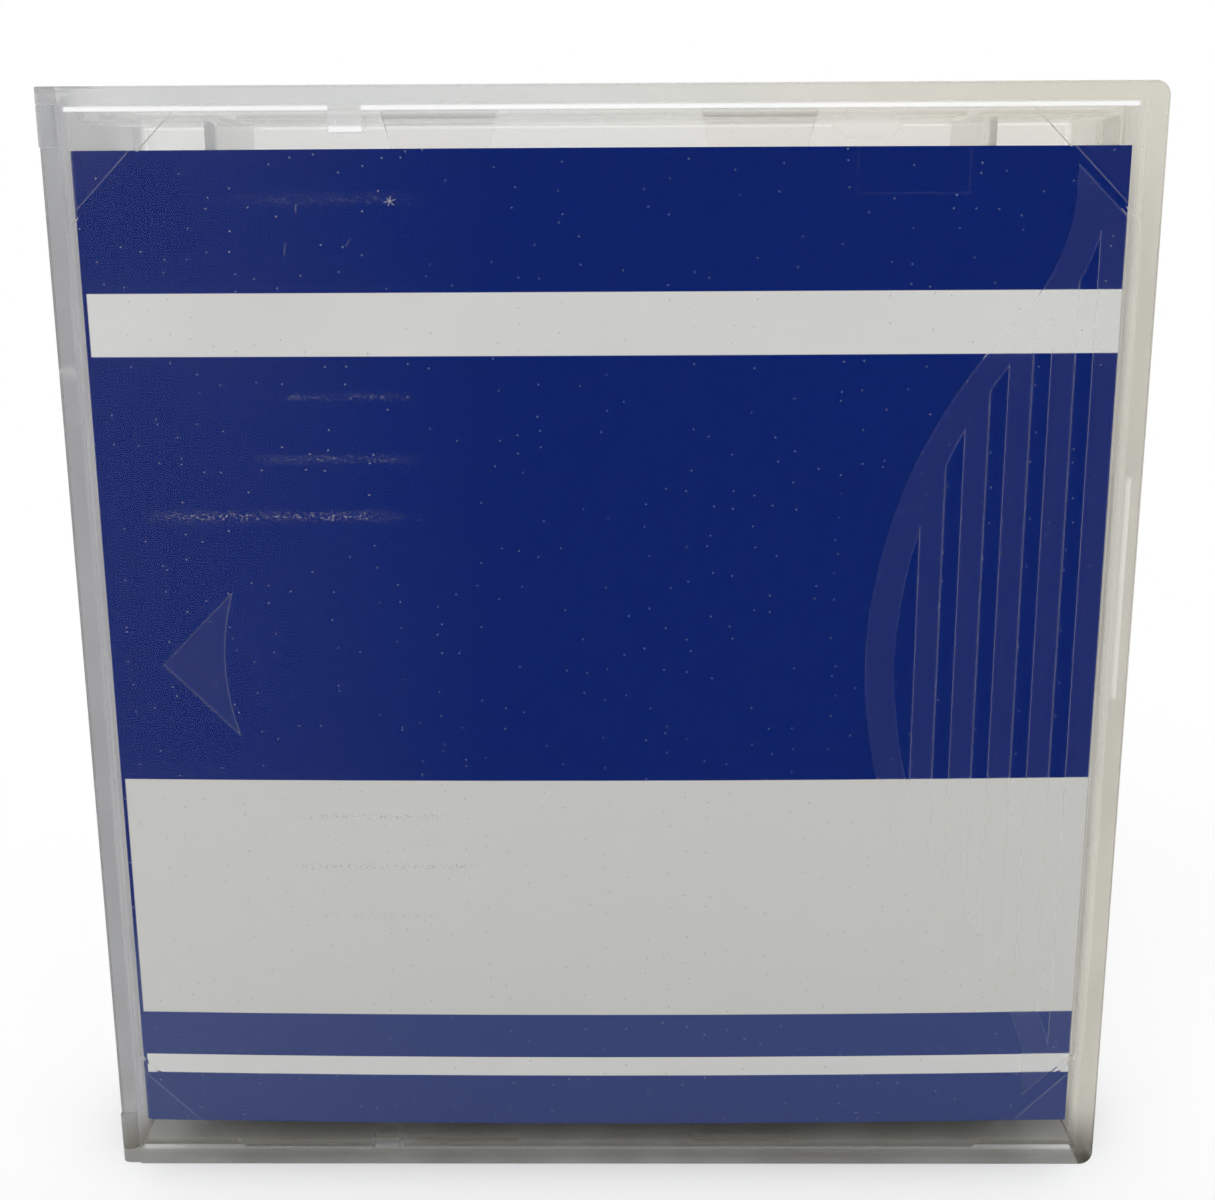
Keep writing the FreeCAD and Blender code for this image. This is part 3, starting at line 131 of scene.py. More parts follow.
class Finish:
    """A material: its nodes, and the place on the piece in millimetres as x, y and z."""

    def __init__(self, name):
        self.material = bpy.data.materials.new(name)
        self.material.use_nodes = True
        self.nodes = self.material.node_tree.nodes
        self.links = self.material.node_tree.links
        self.nodes.clear()
        metres = self.node("ShaderNodeTexCoord", output="Object")
        self.place = self.node("ShaderNodeVectorMath", {"operation": "SCALE"},
                               {"Vector": metres, "Scale": 1000.0})
        self.x = self.node("ShaderNodeSeparateXYZ", sockets={"Vector": self.place})
        self.y, self.z = self.x.beside("Y"), self.x.beside("Z")

    def node(self, kind, settings=None, sockets=None, output=0):
        """Adds a node: its settings first, then a value or a wire for each of its sockets."""
        made = self.nodes.new(kind)
        for name, value in (settings or {}).items():
            setattr(made, name, value)
        for name, value in (sockets or {}).items():
            if isinstance(value, Wire):
                self.links.new(value.socket, made.inputs[name])
            else:
                made.inputs[name].default_value = value
        return Wire(self, made.outputs[output]) if len(made.outputs) else made

    def mottle(self, size, detail=2.0, roughness=0.5, drawn=(1.0, 1.0, 1.0)):
        """Cloudy variation about 0.5, in lumps that size across and drawn out along the axes."""
        where = self.node("ShaderNodeVectorMath", {"operation": "DIVIDE"}, {0: self.place, 1: drawn})
        return self.node("ShaderNodeTexNoise", sockets={
            "Vector": where, "Scale": 1.0 / size, "Detail": detail, "Roughness": roughness,
        })

    def specks(self, pitch, radius, share):
        """Spots up to that radius on an upright face, one in each cell of a loose grid that chance picks."""
        flat = self.node("ShaderNodeCombineXYZ", sockets={"X": self.x, "Y": self.z})
        away = self.node("ShaderNodeTexVoronoi", {"voronoi_dimensions": "2D"},
                         {"Vector": flat, "Scale": 1.0 / pitch})
        chance = self.node("ShaderNodeSeparateColor", sockets={"Color": away.beside("Color")})
        return (away * pitch).step(radius * 0.4, radius, 1.0, 0.0) * chance.step(
            share - 0.01, share + 0.01, 1.0, 0.0)

    def mix(self, share, first, second):
        """Colour that goes from first to second with share."""
        return self.node("ShaderNodeMix", {"data_type": "RGBA"}, {0: share, 6: first, 7: second}, 2)

    def raised(self, height, deep):
        """Normal of a surface that height lifts by up to deep millimetres."""
        return self.node("ShaderNodeBump", sockets={"Height": height, "Distance": deep / 1000.0})

    def surface(self, sockets):
        return self.node("ShaderNodeBsdfPrincipled", {"distribution": "GGX"}, sockets)

    def cover(self, shader, *names):
        """Shows the shader, and puts the finish on the CAD pieces of those names."""
        self.node("ShaderNodeOutputMaterial", sockets={"Surface": shader})
        for name in names:
            for place in pieces[name].material_slots:
                place.material = self.material


def ink(red, green, blue):
    """A colour from its 0 to 255 values, as the shaders want it."""
    linear = [(part / 255 / 12.92) if part < 10.3 else ((part / 255 + 0.055) / 1.055) ** 2.4
              for part in (red, green, blue)]
    return (*linear, 1.0)


charcoal = Finish("charcoal_shell")
grain = charcoal.mottle(0.22, 2.0)
wear = charcoal.mottle(9.0, 3.0).step(0.45, 0.75)
charcoal.cover(charcoal.surface({
    "Base Color": charcoal.mix(charcoal.mottle(14.0), ink(52, 54, 57), ink(61, 63, 66)),
    "Roughness": 0.52 + grain * 0.1 - wear * 0.14,
    "Specular IOR Level": 0.45,
    "Normal": charcoal.raised(grain + charcoal.mottle(0.6) * 0.5, 0.035),
}), "lower_shell", "upper_shell")

# Shell screws. Four small cross-head screws of zinc-plated steel, sunk in the lower shell, with turned
# rings on their heads and a faint yellow cast in the plating.
zinc = Finish("zinc_plated_steel")
plating = zinc.mottle(0.5, 3.0)
zinc.cover(zinc.surface({
    "Base Color": zinc.mix(plating, ink(170, 170, 166), ink(196, 190, 176)),
    "Metallic": 1.0,
    "Roughness": 0.24 + plating * 0.18,
    "Normal": zinc.raised(zinc.mottle(0.12, 2.0, drawn=(1.0, 3.0, 1.0)), 0.006),
}), "shell_screws")

# Reel. Hub with its lower flange, and the upper flange welded on: natural clear polycarbonate gone
# slightly grey, moulded from the middle, so that flow marks run outwards from the hub.
natural = Finish("natural_reel_plastic")
hub_low, hub_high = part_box("reel_hub")
hub_x, hub_z = ((low + high) * 500 for low, high in zip(hub_low.xz, hub_high.xz))


def from_hub(finish):
    """Distance from the reel's axle in millimetres, and the angle round it in radians."""
    across, up = finish.x - hub_x, finish.z - hub_z
    return (across * across + up * up) ** 0.5, up.math("ARCTAN2", up, across)


out, angle = from_hub(natural)
flow = natural.node("ShaderNodeTexNoise", {"noise_dimensions": "2D"}, {
    "Vector": natural.node("ShaderNodeCombineXYZ", sockets={"X": out * 0.05, "Y": angle * 3.0}),
    "Scale": 1.0, "Detail": 3.0,
})
natural.cover(natural.surface({
    "Base Color": natural.mix(flow, ink(188, 192, 194), ink(214, 216, 216)),
    "Roughness": 0.24 + flow * 0.14,
    "Coat Weight": 0.15,
    "Normal": natural.raised(flow + natural.mottle(1.5) * 0.3, 0.02),
}), "reel_hub", "upper_flange")

# Drive disc. A thin ring of magnetic stainless steel heat-staked into the hub, which a drive's magnet
# pulls on. It is blanked from brushed strip, so its lines run one way.
steel = Finish("brushed_steel")
brushing = steel.mottle(0.1, 2.0, drawn=(40.0, 1.0, 1.0))
steel.cover(steel.surface({
    "Base Color": steel.mix(brushing, ink(186, 187, 189), ink(208, 208, 208)),
    "Metallic": 1.0,
    "Roughness": 0.26 + brushing * 0.14,
    "Normal": steel.raised(brushing, 0.004),
}), "drive_disc")

# Tape. Half-inch metal-particle tape wound as one pack, its edges a dark shiny face of fine turns in
# uneven bands, with the free end led along to the pin. The outer turn is smooth and glossy.
tape = Finish("wound_tape")
out, angle = from_hub(tape)
turns = tape.node("ShaderNodeTexNoise", {"noise_dimensions": "1D"},
                  {"W": out * 6.0, "Scale": 1.0, "Detail": 2.0})
bands = tape.node("ShaderNodeTexNoise", {"noise_dimensions": "1D"},
                  {"W": out * 0.35, "Scale": 1.0, "Detail": 3.0}).step(0.35, 0.65)
tape.cover(tape.surface({
    "Base Color": tape.mix(bands, ink(44, 40, 40), ink(62, 56, 54)),
    "Roughness": 0.22 + bands * 0.12 + turns * 0.08,
    "Normal": tape.raised(turns + bands * 0.6, 0.02),
}), "tape_pack", "leader_tape")

# Brake button and release plate. Acetal pieces in natural white: the toothed button that locks the reel
# and the three-legged plate that lifts it. They are slippery, with a waxy shine.
acetal = Finish("natural_acetal")
waxy = acetal.mottle(2.5, 3.0)
acetal.cover(acetal.surface({
    "Base Color": acetal.mix(waxy, ink(214, 211, 203), ink(228, 226, 219)),
    "Roughness": 0.33 + waxy * 0.12,
    "Normal": acetal.raised(waxy + acetal.mottle(0.4) * 0.4, 0.015),
}), "brake_button", "release_plate")

# Springs. The brake spring, the door spring and the two pin springs are wound from bright music wire,
# drawn through a die, with fine lines along the wire. The brake button and the door shorten the first
# two as they move; each is wound again here as a fixed coil on the case, which does not squash with its
# joint.
wire = Finish("bright_spring_wire")
drawn_lines = wire.mottle(0.08, 2.0)
wire.cover(wire.surface({
    "Base Color": wire.mix(drawn_lines, ink(178, 178, 180), ink(210, 210, 211)),
    "Metallic": 1.0,
    "Roughness": 0.2 + drawn_lines * 0.14,
    "Normal": wire.raised(drawn_lines, 0.004),
}), "pin_springs")


def spring(node, thick, turns, joint, lean=0.0):
    """Coil in the place of a CAD spring, wound upright and leant over from there, in metres and radians.

    still_end is not used.
    """
    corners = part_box(node)
    low, high = corners
    run = 1 if lean else 2
    across, long = high.x - low.x, high[run] - low[run]
    travel = next(max(each["range_m"]) for each in frame["joints"] if each["name"] == joint)
    bpy.ops.object.select_all(action="DESELECT")
    bpy.ops.mesh.primitive_circle_add(
        vertices=12, radius=thick / 2, rotation=(math.pi / 2, 0.0, 0.0),
        location=((across - thick) / 2, 0.0, (thick - long) / 2))
    coil = bpy.context.object
    coil.name = node + "_coil"
    bpy.ops.object.transform_apply(location=True, rotation=True, scale=True)
    winding = coil.modifiers.new("winding", "SCREW")
    winding.iterations = turns
    winding.screw_offset = (long - thick) / turns
    winding.steps = winding.render_steps = 32
    bpy.ops.object.modifier_apply(modifier="winding")
    bpy.ops.object.mode_set(mode="EDIT")
    bpy.ops.mesh.select_all(action="SELECT")
    bpy.ops.mesh.remove_doubles(threshold=1e-7)
    bpy.ops.mesh.fill_holes(sides=0)
    bpy.ops.mesh.select_all(action="SELECT")
    bpy.ops.mesh.normals_make_consistent(inside=False)
    bpy.ops.object.mode_set(mode="OBJECT")
    coil.rotation_euler = (lean, 0.0, 0.0)
    coil.location = (low + high) / 2
    bpy.ops.object.transform_apply(location=True, rotation=True, scale=True)
    bpy.ops.object.shade_smooth()
    coil.data.materials.append(wire.material)
    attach(coil, "case")
    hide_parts(node)
    1.0 - travel / long
    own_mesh(coil)


spring("brake_spring", thick=0.0008, turns=5, joint="brake_lift", lean=-math.pi / 2)
spring("door_spring", thick=0.00032, turns=14, joint="door_slide")

# Leader pin and clip. The pin is turned from stainless bar and polished, with faint tool rings. The clip
# is a split tube of white acetal that snaps over the pin and grips the tape's end.
polished = Finish("turned_pin_steel")
rings = polished.mottle(0.12, 1.0, drawn=(40.0, 1.0, 40.0))
polished.cover(polished.surface({
    "Base Color": ink(202, 202, 204),
    "Metallic": 1.0,
    "Roughness": 0.13 + rings * 0.1,
    "Normal": polished.raised(rings, 0.003),
}), "leader_pin")
clip = Finish("white_clip_acetal")
soft = clip.mottle(1.2, 2.0)
clip.cover(clip.surface({
    "Base Color": clip.mix(soft, ink(226, 226, 222), ink(238, 238, 235)),
    "Roughness": 0.34 + soft * 0.1,
    "Normal": clip.raised(soft, 0.01),
}), "leader_clip")

# Access door. A thin slide of the same charcoal plastic as the shells, in a finer grain, polished along
# its length where it runs in its groove.
slide = Finish("door_plastic")
fine = slide.mottle(0.14, 2.0)
rubbed = slide.mottle(1.2, 2.0, drawn=(1.0, 1.0, 12.0)).step(0.5, 0.75)
slide.cover(slide.surface({
    "Base Color": slide.mix(rubbed, ink(46, 48, 51), ink(58, 60, 63)),
    "Roughness": 0.46 - rubbed * 0.16,
    "Normal": slide.raised(fine, 0.02),
}), "access_door")

# Write-protect switch. A small slider of red acetal with a waxy shine that a fingernail pushes across.
red = Finish("red_switch_acetal")
moulded = red.mottle(1.0, 3.0)
red.cover(red.surface({
    "Base Color": red.mix(moulded, ink(182, 36, 28), ink(200, 50, 38)),
    "Roughness": 0.34 + moulded * 0.12,
    "Normal": red.raised(moulded, 0.012),
}), "write_protect_switch")

# Memory chip. A moulded green-black module, epoxy with a fine gritty surface and no marking.
epoxy = Finish("memory_module_epoxy")
grit = epoxy.mottle(0.12, 3.0)
epoxy.cover(epoxy.surface({
    "Base Color": epoxy.mix(grit, ink(22, 42, 32), ink(32, 54, 42)),
    "Roughness": 0.4 + grit * 0.2,
    "Normal": epoxy.raised(grit, 0.015),
}), "memory_chip")

# Cartridge label. A blank strip of coated white paper in its recess on the rear edge, left bare, with a
# thin grey frame and a faint fibre.
paper = Finish("bare_label_paper")
label_low, label_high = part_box("cartridge_label")
edge_left, edge_right = label_low.x * 1000, label_high.x * 1000
fibre = paper.mottle(0.5, 4.0, 0.6)
ruled = 1.0 - paper.x.between(edge_left + 1.2, edge_right - 1.2, 0.04) * paper.y.between(
    label_low.y * 1000 + 1.2, label_high.y * 1000 - 1.2, 0.04)
ruled = ruled * paper.x.between(edge_left + 0.9, edge_right - 0.9, 0.04) * paper.y.between(
    label_low.y * 1000 + 0.9, label_high.y * 1000 - 0.9, 0.04)
paper.cover(paper.surface({
    "Base Color": paper.mix(ruled, paper.mix(fibre, ink(228, 227, 222), ink(238, 237, 233)),
                            ink(150, 152, 156)),
    "Roughness": 0.55 + fibre * 0.12,
    "Normal": paper.raised(fibre, 0.01),
}), "cartridge_label")

# Inlay card. A sheet of coated white card behind the lid, printed on its front in bands of deep blue,
# with bare white between them where words would stand, and unprinted behind.
# Painted light on the card: shade darkens its lower white field, and a reflection pales its lower blue
# bands.
card = Finish("printed_inlay_card")
card_low, card_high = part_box("inlay_card")
card_left, card_top = card_low.x * 1000, card_high.z * 1000
printed_bands = ((-1.0, 14.1), (20.5, 66.5), (94.5, 99.8), (102.1, 109.2))
drop = card_top - card.z
blue = 0.0
for first, last in printed_bands:
    blue = drop.between(first, last, 0.04) + blue
margin = card.x.step(card_left + 0.45, card_left + 0.6, 1.0, 0.0)
faces_out = card.node("ShaderNodeSeparateXYZ", sockets={
    "Vector": card.node("ShaderNodeTexCoord", output="Normal")}, output="Y").step(-0.7, -0.5, 1.0, 0.0)
blue = (blue + margin).at_most(1.0) * faces_out
tooth = card.mottle(0.3, 1.0, 0.6)
patchy = card.mottle(18.0, 1.0)
white = card.mix(patchy, ink(214, 214, 212), ink(205, 205, 204))
# Painted shade: the lower white field, between the middle and lower blue bands, is darkened where less light
# falls.
white = card.mix(drop.between(62.0, 96.0, 2.0), white, ink(199, 198, 195))
# Painted reflection: the lower blue bands turn paler, standing in for the floor mirrored in the lid.
blue_with_painted_reflection = card.mix(drop.step(80.0, 90.0), ink(0, 28, 103), ink(58, 70, 120))
card.cover(card.surface({
    "Base Color": card.mix(blue, white, blue_with_painted_reflection),
    "Roughness": 0.5 - blue * 0.06 + tooth * 0.08,
    "Specular IOR Level": 0.03,
    "Normal": card.raised(tooth, 0.006),
}), "inlay_card")

# Storage case. Base and lid are polypropylene 1.4 to 1.6 mm thick, clear on the flat faces and milky in
# the walls, which are seen along their length. The harp, the arrow and the long hexagon are sunk in the
# lid and left matt by the mould. Shelf wear has left dust, fine scuffs and a few rubbed streaks.
# Painted light on the case: highlights under the top rim and along the frosted marks, reflections towards
# the hinge and above the card, and shade at the foot.
case_low, case_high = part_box("case_lid")
case_left, case_right, case_top = case_low.x * 1000, case_high.x * 1000, case_high.z * 1000
case_front = case_low.y * 1000
mark_height = case_top / 2 + 0.45
rim_left, rim_right, rim_foot, rim_top = case_left + 3.0, case_right - 2.3, 2.2, case_top - 1.9
wall, face_bending, face_blur = 1.6, 1.08, 0.05


def walls(finish):
    """The case's walls and the rim that they make round its faces."""
    return 1.0 - finish.x.between(rim_left, rim_right, 0.35) * finish.z.between(rim_foot, rim_top, 0.3)


def glassy(finish, bending, rough):
    """Clear plastic. The thin faces bend and mirror very little, the walls more."""
    return finish.surface({
        "Base Color": ink(252, 251, 250),
        "Transmission Weight": 1.0,
        "IOR": bending,
        "Roughness": rough,
    })


def cloudy(finish, tint):
    """Milk in the plastic, lit from both sides."""
    return finish.node("ShaderNodeMixShader", sockets={
        0: 0.4,
        1: finish.node("ShaderNodeBsdfDiffuse", sockets={"Color": tint}),
        2: finish.node("ShaderNodeBsdfTranslucent", sockets={"Color": tint}),
    })


def milky(finish, milk, clear, tint):
    """Clear plastic with that share of milk in it."""
    return finish.node("ShaderNodeMixShader", sockets={0: milk, 1: clear, 2: cloudy(finish, tint)})


def moulding(finish, face, tint):
    """Faces as given, and milky walls: most where they are seen from their edges, less on their outsides."""
    rim = walls(finish)
    outsides = abs(finish.x).past(case_right - 0.3) + finish.z.past(case_top - 0.3)
    milk = rim * (0.48 + finish.mottle(8.0, 0.0) * 0.3) * (1.0 - outsides.at_most(1.0) * 0.62)
    return finish.node("ShaderNodeMixShader", sockets={
        0: rim.past(0.01), 1: face, 2: milky(finish, milk, glassy(finish, 1.3, 0.2), tint),
    })


def lamps_through(finish, shader):
    """Lamplight and stray light pass the plastic as they would a clear pane."""
    pane = finish.node("ShaderNodeBsdfTransparent", sockets={"Color": ink(250, 251, 251)})
    for ray in ("Is Diffuse Ray", "Is Shadow Ray"):
        shader = finish.node("ShaderNodeMixShader", sockets={
            0: finish.node("ShaderNodeLightPath", output=ray), 1: shader, 2: pane,
        })
    return shader


def harp(finish, soft):
    """Frosted field of the harp: a band along its bowed edge, and five upright bars."""
    centre, radius, turn = case_right + 24.5, 52.5, 36.0
    small, half, band = 18.7, 51.2, 3.1
    first_bar, pitch, bar = case_right - 22.8, 4.2, 2.4
    turn_x = centre - math.sqrt(radius ** 2 - turn ** 2)
    small_x = turn_x - (centre - turn_x) * small / radius
    upright_x, upright_y = small_x + small, turn + turn * small / radius
    away = abs(finish.z - mark_height)

    def under(shift, more=0.0):
        """Inside the bowed edge, once that is moved right by shift."""
        to_centre = finish.x - (centre + shift)
        to_small = finish.x - (small_x + shift)
        wide = (radius ** 2 - to_centre * to_centre).at_least(0.0) ** 0.5
        narrow = upright_y - (small ** 2 - to_small * to_small).at_least(0.0) ** 0.5
        turned = finish.x.step(turn_x + shift - 0.02, turn_x + shift + 0.02)
        return (wide + (narrow - wide) * turned + more - away).step(0.0, soft * 2)

    corner = (half - upright_y + upright_x - finish.x) * finish.x.step(upright_x - 0.02, upright_x + 0.02)
    field = under(0.0, corner) * finish.x.between(centre - radius, case_right - 3.3, soft)
    half_gap = (pitch - bar) / 2
    first_gap, last_bar = first_bar - half_gap, first_bar + pitch * 4 + bar / 2
    along = finish.x.at_least(first_gap).at_most(last_bar) - (first_gap - pitch / 2)
    gaps = abs(along.math("FLOORED_MODULO", along, pitch) - pitch / 2).step(
        half_gap - soft, half_gap + soft, 1.0, 0.0)
    return field * (1.0 - gaps * under(band))


def arrow(finish, soft):
    """Frosted arrow head that points at the hinge, its back edge hollowed."""
    tip, back, half, bow = case_left + 9.2, case_left + 17.0, 7.9, 26.0
    away = abs(finish.z - mark_height)
    centre = back + math.sqrt(bow ** 2 - half ** 2)
    across = finish.x - centre
    hollow = ((across * across + away * away) ** 0.5).step(bow - soft, bow + soft)
    sides = (finish.x - tip - away * ((back - tip) / half)).step(-soft, soft)
    return hollow * sides * finish.x.step(back, back + soft, 1.0, 0.0)


def long_hexagon(finish, soft):
    """Frosted finger mark at the top of the lid."""
    half, tall, nib = 3.55, 1.25, 1.6
    across = abs(finish.x - (case_right - 33.1 + half))
    away = abs(finish.z - (case_top - 2.8 - tall))
    return (half - across - away * (nib / tall)).step(-soft, soft) * away.step(
        tall - soft, tall + soft, 1.0, 0.0)


def worn(finish):
    """Streaks where other cases have rubbed the lid."""
    grit = finish.mottle(0.16, 2.0, 0.8, drawn=(1.6, 1.0, 1.0)).step(0.5, 0.7)
    worn_away = 0.0
    for left, right, height, thick, strength in (
        (-33.5, -21.0, 88.2, 0.6, 0.7), (-35.0, -20.0, 81.8, 0.7, 0.8), (-46.0, -22.0, 75.8, 0.9, 1.1),
        (-33.0, -17.0, 42.6, 0.6, 0.9), (-33.5, -14.0, 36.8, 0.6, 1.1), (-32.0, -18.0, 31.0, 0.7, 0.4),
        (-36.0, -19.0, 107.8, 0.9, 0.35),
    ):
        away = abs(finish.z - height).step(0.0, thick, strength, 0.0)
        worn_away = away * finish.x.between(left, right, 2.5) + worn_away
    return worn_away * grit


def webs(finish):
    """Edges of the four corner webs that hold the card's corners, and the webs themselves."""
    web_left, web_right, web_leg = case_left + 2.0, case_right - wall, 12.0
    from_side = (web_right - web_left) / 2 - abs(finish.x - (web_right + web_left) / 2)
    from_end = case_top / 2 - wall - abs(finish.z - case_top / 2)
    along = from_side + from_end
    return (along.between(web_leg - 0.1, web_leg + 0.1, 0.06),
            along.step(web_leg - 0.1, web_leg, 1.0, 0.0))


def scratched(finish):
    """Short scratches near the top: place, length and lean of each, three of them crossed in a star."""
    scratches = 0.0
    for middle, height, long, lean, strength in (
        (-20.9, 107.6, 1.5, 0.2, 0.8), (-20.9, 107.6, 1.2, 1.3, 0.9), (-20.8, 107.5, 1.2, 2.4, 0.8),
        (-30.3, 106.9, 0.9, 1.5, 0.5), (-25.2, 103.6, 1.0, 1.0, 0.4), (-31.6, 102.9, 1.4, 1.4, 0.35),
    ):
        across, up = finish.x - middle, finish.z - height
        reach = abs(across * math.cos(lean) + up * math.sin(lean)).step(long * 0.35, long * 0.5, 1.0, 0.0)
        beside = abs(up * math.cos(lean) - across * math.sin(lean)).step(0.03, 0.1, strength, 0.0)
        scratches = reach * beside + scratches
    return scratches


def milk_tint_with_painted_foot_shade(finish):
    """Tint of the milk: greyer at the hinge, yellower at the opening side, and darkened by painted shade at
    the foot.
    """
    tint = finish.mix(finish.x.step(-20.0, 50.0), ink(222, 223, 222), ink(224, 220, 208))
    tint = finish.mix(finish.x.step(-53.4, -51.0), ink(184, 184, 186), tint)
    # Painted shade: the lowest millimetres darken in two steps, standing in for the floor's contact shadow.
    tint = finish.mix(finish.z.step(1.5, 7.5), ink(126, 122, 112), tint)
    return finish.mix(finish.z.step(0.8, 2.2), ink(80, 76, 66), tint)


lid = Finish("lid_polypropylene")
tint_with_painted_light = milk_tint_with_painted_foot_shade(lid)
stop_left, stop_right, stop_edge = -26.7, -23.4, 0.35
stop = lid.x.between(stop_left, stop_right, 0.15)
# Painted highlights: a white line just under the top rim, broken at the stop, and a bright band at the stop
# tab's foot. Both whiten the milk tint and add milk.
painted_tab_highlight = stop * lid.z.between(case_top - 4.5, case_top - 3.95, 0.15)
painted_rim_highlight = lid.z.between(case_top - 2.45, case_top - 1.95, 0.1) * lid.x.between(
    rim_left + 0.2, rim_right - 0.7, 0.3)
painted_rim_highlight = painted_rim_highlight * (1.0 - stop) + painted_tab_highlight
tint_with_painted_light = lid.mix(painted_rim_highlight, tint_with_painted_light, ink(255, 255, 255))
# Painted reflection: milk just above the card's top edge, more at the stop tab, in place of the lid wall's
# underside mirrored there.
painted_reflection_above_card = lid.z.step(card_top - 0.1, card_top + 0.2) * (
    0.16 + stop * 0.35 * lid.z.step(case_top - 4.6, case_top - 4.4))
arch_foot, arch_top = 1.9, 3.5
arch = stop * lid.z.between(arch_foot, arch_top, 0.1) * (
    1.0 - lid.x.between(stop_left + stop_edge, stop_right - stop_edge, 0.1)
    * lid.z.between(arch_foot - 0.9, arch_top - stop_edge, 0.1))
pad_left, pad_right, pad_foot = 25.6, 36.7, case_top - 10.6
seam = 0.0
for side in (pad_left, pad_right):
    seam = lid.x.between(side - 0.05, side + 0.05, 0.06) * lid.z.step(pad_foot, pad_foot + 0.1) + seam
seam = lid.z.between(pad_foot - 0.05, pad_foot + 0.05, 0.06) * lid.x.between(pad_left, pad_right) + seam
web_edge, web = webs(lid)
# Milk on the face: dust specks and the outlines of the webs, seam and arch, and painted light: a haze
# growing towards the hinge side as a painted reflection, the painted rim highlights and the painted
# reflection above the card.
dust_and_painted_light = (0.001 + lid.x.step(-54.0, -5.0, 0.028, 0.0) + web_edge * 0.15 + web * 0.012 + painted_rim_highlight * 0.9
        + painted_reflection_above_card + seam * 0.04 + arch * 0.55 + lid.specks(2.2, 0.11, 0.35) * 0.45)


def front(frosted, worn_away):
    """The lid's front face, where it is frosted and where it is worn, with painted highlights along the
    frosted marks' edges.
    """
    painted_edge_highlights = frosted * (1.0 - frosted) * 4.0
    milk = dust_and_painted_light + worn_away * 0.65 + frosted * 0.024 + painted_edge_highlights * 0.13
    return milky(lid, milk, glassy(lid, face_bending, face_blur + frosted * 0.3),
                 lid.mix(worn_away * 3.0, tint_with_painted_light, ink(168, 168, 168)))


def where(mask, otherwise, inside):
    """One shader inside the mask and the other outside it."""
    return lid.node("ShaderNodeMixShader", sockets={0: mask, 1: otherwise, 2: inside})


nothing = lid.x * 0.0
relief_edge, wear_ends, harp_starts = 0.14, -13.0, 20.0
left_part = front(arrow(lid, relief_edge), worn(lid) + scratched(lid))
right_part = front(harp(lid, relief_edge) + long_hexagon(lid, relief_edge), nothing)
face = where(lid.x.past(wear_ends), left_part,
             where(lid.x.past(harp_starts), front(nothing, nothing), right_part))
outside = (case_front + 0.3 - lid.y).past(0.0) * (1.0 - walls(lid))
inside = moulding(lid, glassy(lid, face_bending, face_blur), tint_with_painted_light)
lid.cover(lamps_through(lid, where(outside, inside, face)), "case_lid")

base = Finish("base_polypropylene")
# The base's milk tint, with the same painted shade at its foot.
shade = milk_tint_with_painted_foot_shade(base)
back = milky(base, 0.3, glassy(base, face_bending, face_blur), shade)
base.cover(lamps_through(base, moulding(base, back, shade)), "case_base")

# Stage. A plain white floor that keeps the case's shadow, an even white surround, and three broad soft
# lamps: one high on the left, a weaker one on the right and one overhead.
scene = bpy.context.scene
bpy.ops.object.select_all(action="DESELECT")
bpy.ops.mesh.primitive_plane_add(size=6.0, location=(0.0, 0.0, 0.0))
floor = bpy.context.object
floor.name = "floor"
ground = Finish("white_floor")
lit = ground.surface({"Base Color": ink(248, 248, 248), "Roughness": 0.9, "Specular IOR Level": 0.1})
glow = ground.node("ShaderNodeEmission", sockets={"Color": ink(255, 255, 255), "Strength": 1.0})
looked_at = ground.node("ShaderNodeLightPath", output="Is Camera Ray")
for ray in ("Is Glossy Ray", "Is Transmission Ray"):
    looked_at = looked_at.math("MAXIMUM", looked_at, ground.node("ShaderNodeLightPath", output=ray))
spread = (ground.x * ground.x + ground.y * ground.y) ** 0.5
clear_of_case = 1.0 - ground.x.between(-58.0, 58.0, 8.0) * ground.y.between(-14.0, 16.0, 6.0)
ground.node("ShaderNodeOutputMaterial", sockets={"Surface": ground.node("ShaderNodeMixShader", sockets={
    0: looked_at * clear_of_case * spread.step(120.0, 450.0, 0.6, 1.0), 1: lit, 2: glow,
})})
floor.data.materials.append(ground.material)

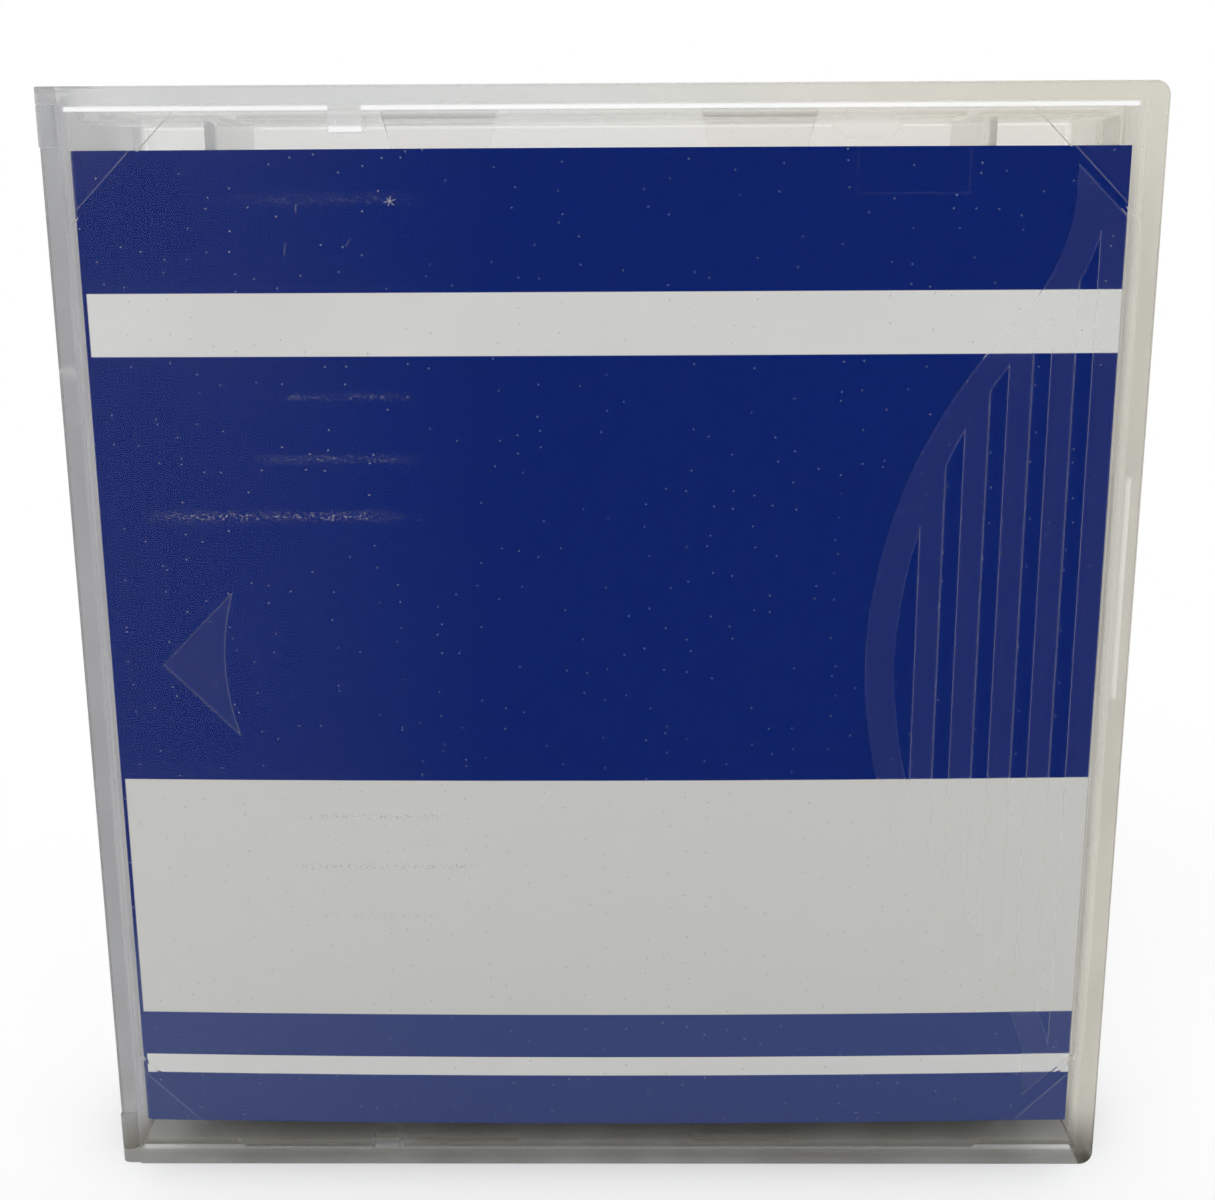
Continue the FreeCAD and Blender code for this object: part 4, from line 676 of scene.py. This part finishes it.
world = bpy.data.worlds.new("white_surround")
scene.world = world
world.use_nodes = True
sky, sky_links = world.node_tree.nodes, world.node_tree.links
sky.clear()
rays = sky.new("ShaderNodeLightPath")
seen = rays.outputs["Is Camera Ray"]
for ray in ("Is Glossy Ray", "Is Transmission Ray"):
    either = sky.new("ShaderNodeMath")
    either.operation = "MAXIMUM"
    sky_links.new(seen, either.inputs[0])
    sky_links.new(rays.outputs[ray], either.inputs[1])
    seen = either.outputs[0]
level = sky.new("ShaderNodeMapRange")
level.inputs["To Min"].default_value = 0.62
level.inputs["To Max"].default_value = 1.0
sky_links.new(seen, level.inputs["Value"])
background = sky.new("ShaderNodeBackground")
background.inputs["Color"].default_value = ink(255, 255, 255)
sky_links.new(level.outputs[0], background.inputs["Strength"])
surround = sky.new("ShaderNodeOutputWorld")
sky_links.new(background.outputs[0], surround.inputs["Surface"])
world.cycles.sampling_method = "NONE"


def soft_lamp(name, place, width, power):
    """Square soft box that faces the middle of the case."""
    bpy.ops.object.light_add(type="AREA", location=place)
    lamp = bpy.context.object
    lamp.name = name
    lamp.data.size = width
    lamp.data.energy = power
    middle = (cad_box[0] + cad_box[1]) / 2
    lamp.rotation_euler = (lamp.location - middle).to_track_quat("Z", "Y").to_euler()


soft_lamp("key_lamp", (-0.7, -0.9, 0.9), 0.9, 5.8)
soft_lamp("fill_lamp", (0.9, -0.7, 0.5), 0.9, 2.4)
soft_lamp("top_lamp", (0.0, 0.25, 1.1), 0.8, 4.6)

# Camera. It stands a hand's breadth above the case's middle, close in front, and looks slightly down.
bpy.ops.object.camera_add()
camera = bpy.context.object
camera.data.lens = 44.8
camera.matrix_world = (
    Matrix.Translation((0.00207, -0.16889, 0.10228))
    @ Matrix.Rotation(math.radians(0.537), 4, "Z")
    @ Matrix.Rotation(math.radians(90 - 12.862), 4, "X")
    @ Matrix.Rotation(math.radians(-0.283), 4, "Z")
)
scene.camera = camera
scene.cycles.max_bounces = 6
scene.cycles.diffuse_bounces = 1
scene.cycles.glossy_bounces = 2
scene.cycles.transmission_bounces = 6
scene.cycles.use_light_tree = False
scene.view_settings.view_transform = "Standard"
